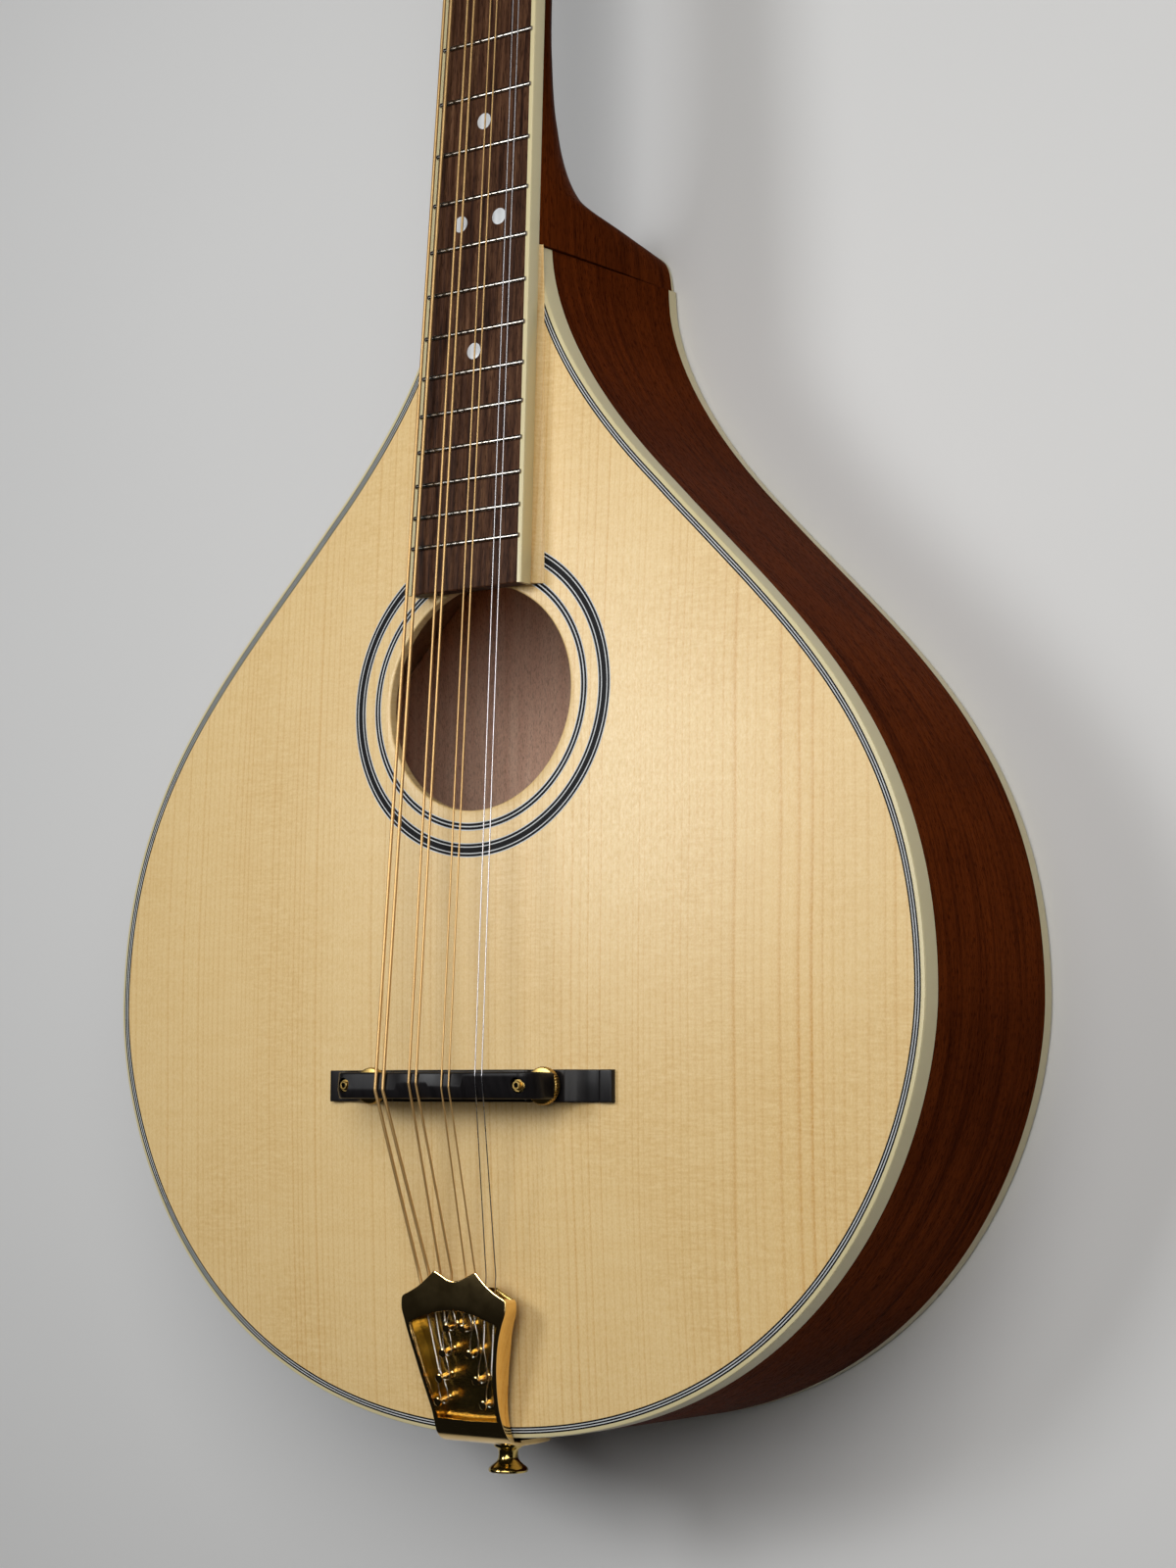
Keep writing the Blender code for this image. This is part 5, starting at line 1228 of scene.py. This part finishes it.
for key, dia in STRING_D.items():
    plain = key[0] == "e"
    r = dia * (0.5 if plain else 0.455)
    node = "string_" + key
    mat, slot = (PLAIN, "string_steel") if plain else (BRONZE, "wound_bronze")
    sx, row = POST_OF[key]
    post = Vector(head(POST_U[row], sx * POST_X, 0))
    wrap_r = 2.5 + r + 0.02
    h0 = VENEER_T + 7.6
    pts = []
    turns = 44
    for k in range(turns, -1, -1):
        a = 2 * math.pi * 2.15 * k / turns
        h = h0 - (dia + 0.03) * 2.15 * k / turns
        pts.append(post + AX_N * h + AX_X * (-sx * wrap_r * math.cos(a)) + AX_U * (wrap_r * math.sin(a)))
    nut_z = plane(SCALE) + 0.54 + r
    nut_a, nut_b = (NUT_X[key], SCALE + 2.2, nut_z), (NUT_X[key], SCALE - 0.1, nut_z + 0.02)
    pts += lerp(pts[-1], nut_a, 8)[1:]
    pts += [nut_b]
    ob = tube(node + "_head", pts, r, mat, n=12)
    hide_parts(node)
    c_y = SADDLE_Y[key[0]]
    sz = SADDLE_TOP + r - 0.02
    sad_a, sad_b = (SADDLE_X[key], c_y + 0.3, sz), (SADDLE_X[key], c_y - 0.3, sz)
    pts = lerp(nut_b, sad_a, 36) + [Vector((SADDLE_X[key], c_y, sz + 0.02))]
    ob = tube(node + "_long", pts, r, mat, body=None, n=12)
    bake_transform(ob)
    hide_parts(node)
    # from the saddle down under the lip of the tailpiece
    front = Vector((TAIL_X[key], -58.6, 11.0 - r))
    hs, hr = HOOK_OF[key]
    hx, hy, htip, hz = HOOKS[hr]
    base, ax = PIN[(hs, hr)]
    t_pin = (hz - base.z) / ax.z
    ring_c = base + ax * t_pin
    aim = ring_c + Vector((0, 0.0, 0))
    d = aim - front
    end_w = front + d * ((-64.0 - front.y) / d.y)
    pts = [Vector((SADDLE_X[key], c_y, sz + 0.02))] + lerp(sad_b, front, 16) + lerp(front, end_w, 4)[1:]
    ob = tube(node + "_tail", pts, r, mat, body=None, n=12)
    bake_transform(ob)
    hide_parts(node)
    # twisted core, then a loop round the pin
    wr = 0.185 if not plain else 0.18
    split_len = 8.4 if hr > 0 else 5.0
    split = ring_c - d.normalized() * split_len
    twisted(node, end_w, split, wr * 0.98, wr, 1.7)
    t = d.normalized()
    side = t.cross(Vector((0, 0, 1))).normalized()
    rr = 1.22 + wr
    loop = []
    for i in range(9):
        f = i / 8
        loop.append(split + t * ((split_len - 0.3) * f) + side * (rr * (0.16 + 0.84 * math.sin(math.pi / 2 * f) ** 1.1 + 0.22 * math.sin(math.pi * f))))
    for i in range(1, 12):
        a = math.pi * i / 12
        loop.append(ring_c + side * (rr * math.cos(a)) + t * (rr * math.sin(a) - 0.0))
    for i in range(8, -1, -1):
        f = i / 8
        loop.append(split + t * ((split_len - 0.3) * f) - side * (rr * (0.16 + 0.84 * math.sin(math.pi / 2 * f) ** 1.1 + 0.22 * math.sin(math.pi * f))))
    ob = tube(node + "_loop", loop, wr, CORE, n=8)
    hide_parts(node)
    if not plain:
        # the winding's last turns make a small collar
        prof = [(-0.9, r * 0.9), (-0.7, r * 1.12), (0.5, r * 1.12), (0.9, r * 0.55)]
        ob = lathe(node + "_collar", end_w, t, prof, BRONZE, n=16)
        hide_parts(node)

# ------------------------------------------------------------------ stage, camera, light
bpy.context.scene.view_settings.view_transform = "Standard"
bpy.context.scene.view_settings.look = "None"
cam = bpy.data.cameras.new("camera")
cam.sensor_fit = "AUTO"
cam.sensor_width = 36.0
cam.lens = 66.02
cam.clip_start = 0.01
co = bpy.data.objects.new("camera", cam)
R = [(0.81232444, 0.00555718, -0.58317932), (-0.0608841, -0.99368264, -0.09427584), (-0.58001907, 0.11208892, -0.80685436)]
pos = Vector(to_m((535.88, -9.69, 691.67)))
rot = Matrix([[R[0][i], -R[1][i], -R[2][i]] for i in range(3)])
co.matrix_world = Matrix.Translation(pos) @ rot.to_4x4()
bpy.context.scene.collection.objects.link(co)
bpy.context.scene.camera = co

fm = Mat("floor_paper").put(Roughness=0.95, Specular_IOR_Level=0.1)
fn = fm.noise(fm.coords(3, 3, 3), 1.0, 2, 0.5)
fm.color(fm.ramp(fn, [(0.3, (0.69, 0.69, 0.69)), (0.7, (0.72, 0.72, 0.72))]))
me = bpy.data.meshes.new("floor")
me.from_pydata([(-4, -4, -0.0005), (4, -4, -0.0005), (4, 4, -0.0005), (-4, 4, -0.0005)], [], [(0, 1, 2, 3)])
me.materials.append(fm.m)
floor = bpy.data.objects.new("floor", me)
bpy.context.scene.collection.objects.link(floor)

world = bpy.data.worlds.new("studio")
world.use_nodes = True
world.node_tree.nodes["Background"].inputs[0].default_value = (0.95, 0.97, 1.0, 1)
world.node_tree.nodes["Background"].inputs[1].default_value = 0.008
bpy.context.scene.world = world


def area(name, loc, target, size, power, col=(1, 1, 1)):
    la = bpy.data.lights.new(name, "AREA")
    la.shape = "RECTANGLE"
    la.size, la.size_y = size
    la.energy = power
    la.color = col
    lo = bpy.data.objects.new(name, la)
    lo.location = loc
    lo.rotation_euler = (Vector(target) - Vector(loc)).to_track_quat("-Z", "Y").to_euler()
    bpy.context.scene.collection.objects.link(lo)


area("key", to_m((330, 290, 820)), to_m((20, 40, 0)), (0.75, 0.75), 6.6, (1.0, 0.985, 0.96))
area("side", to_m((800, 700, 500)), to_m((80, 150, -20)), (0.4, 0.4), 0.5)
area("sheen", to_m((-433, 262, 800)), to_m((60, 85, 5)), (0.28, 0.28), 3.2, (0.97, 0.99, 1.0))
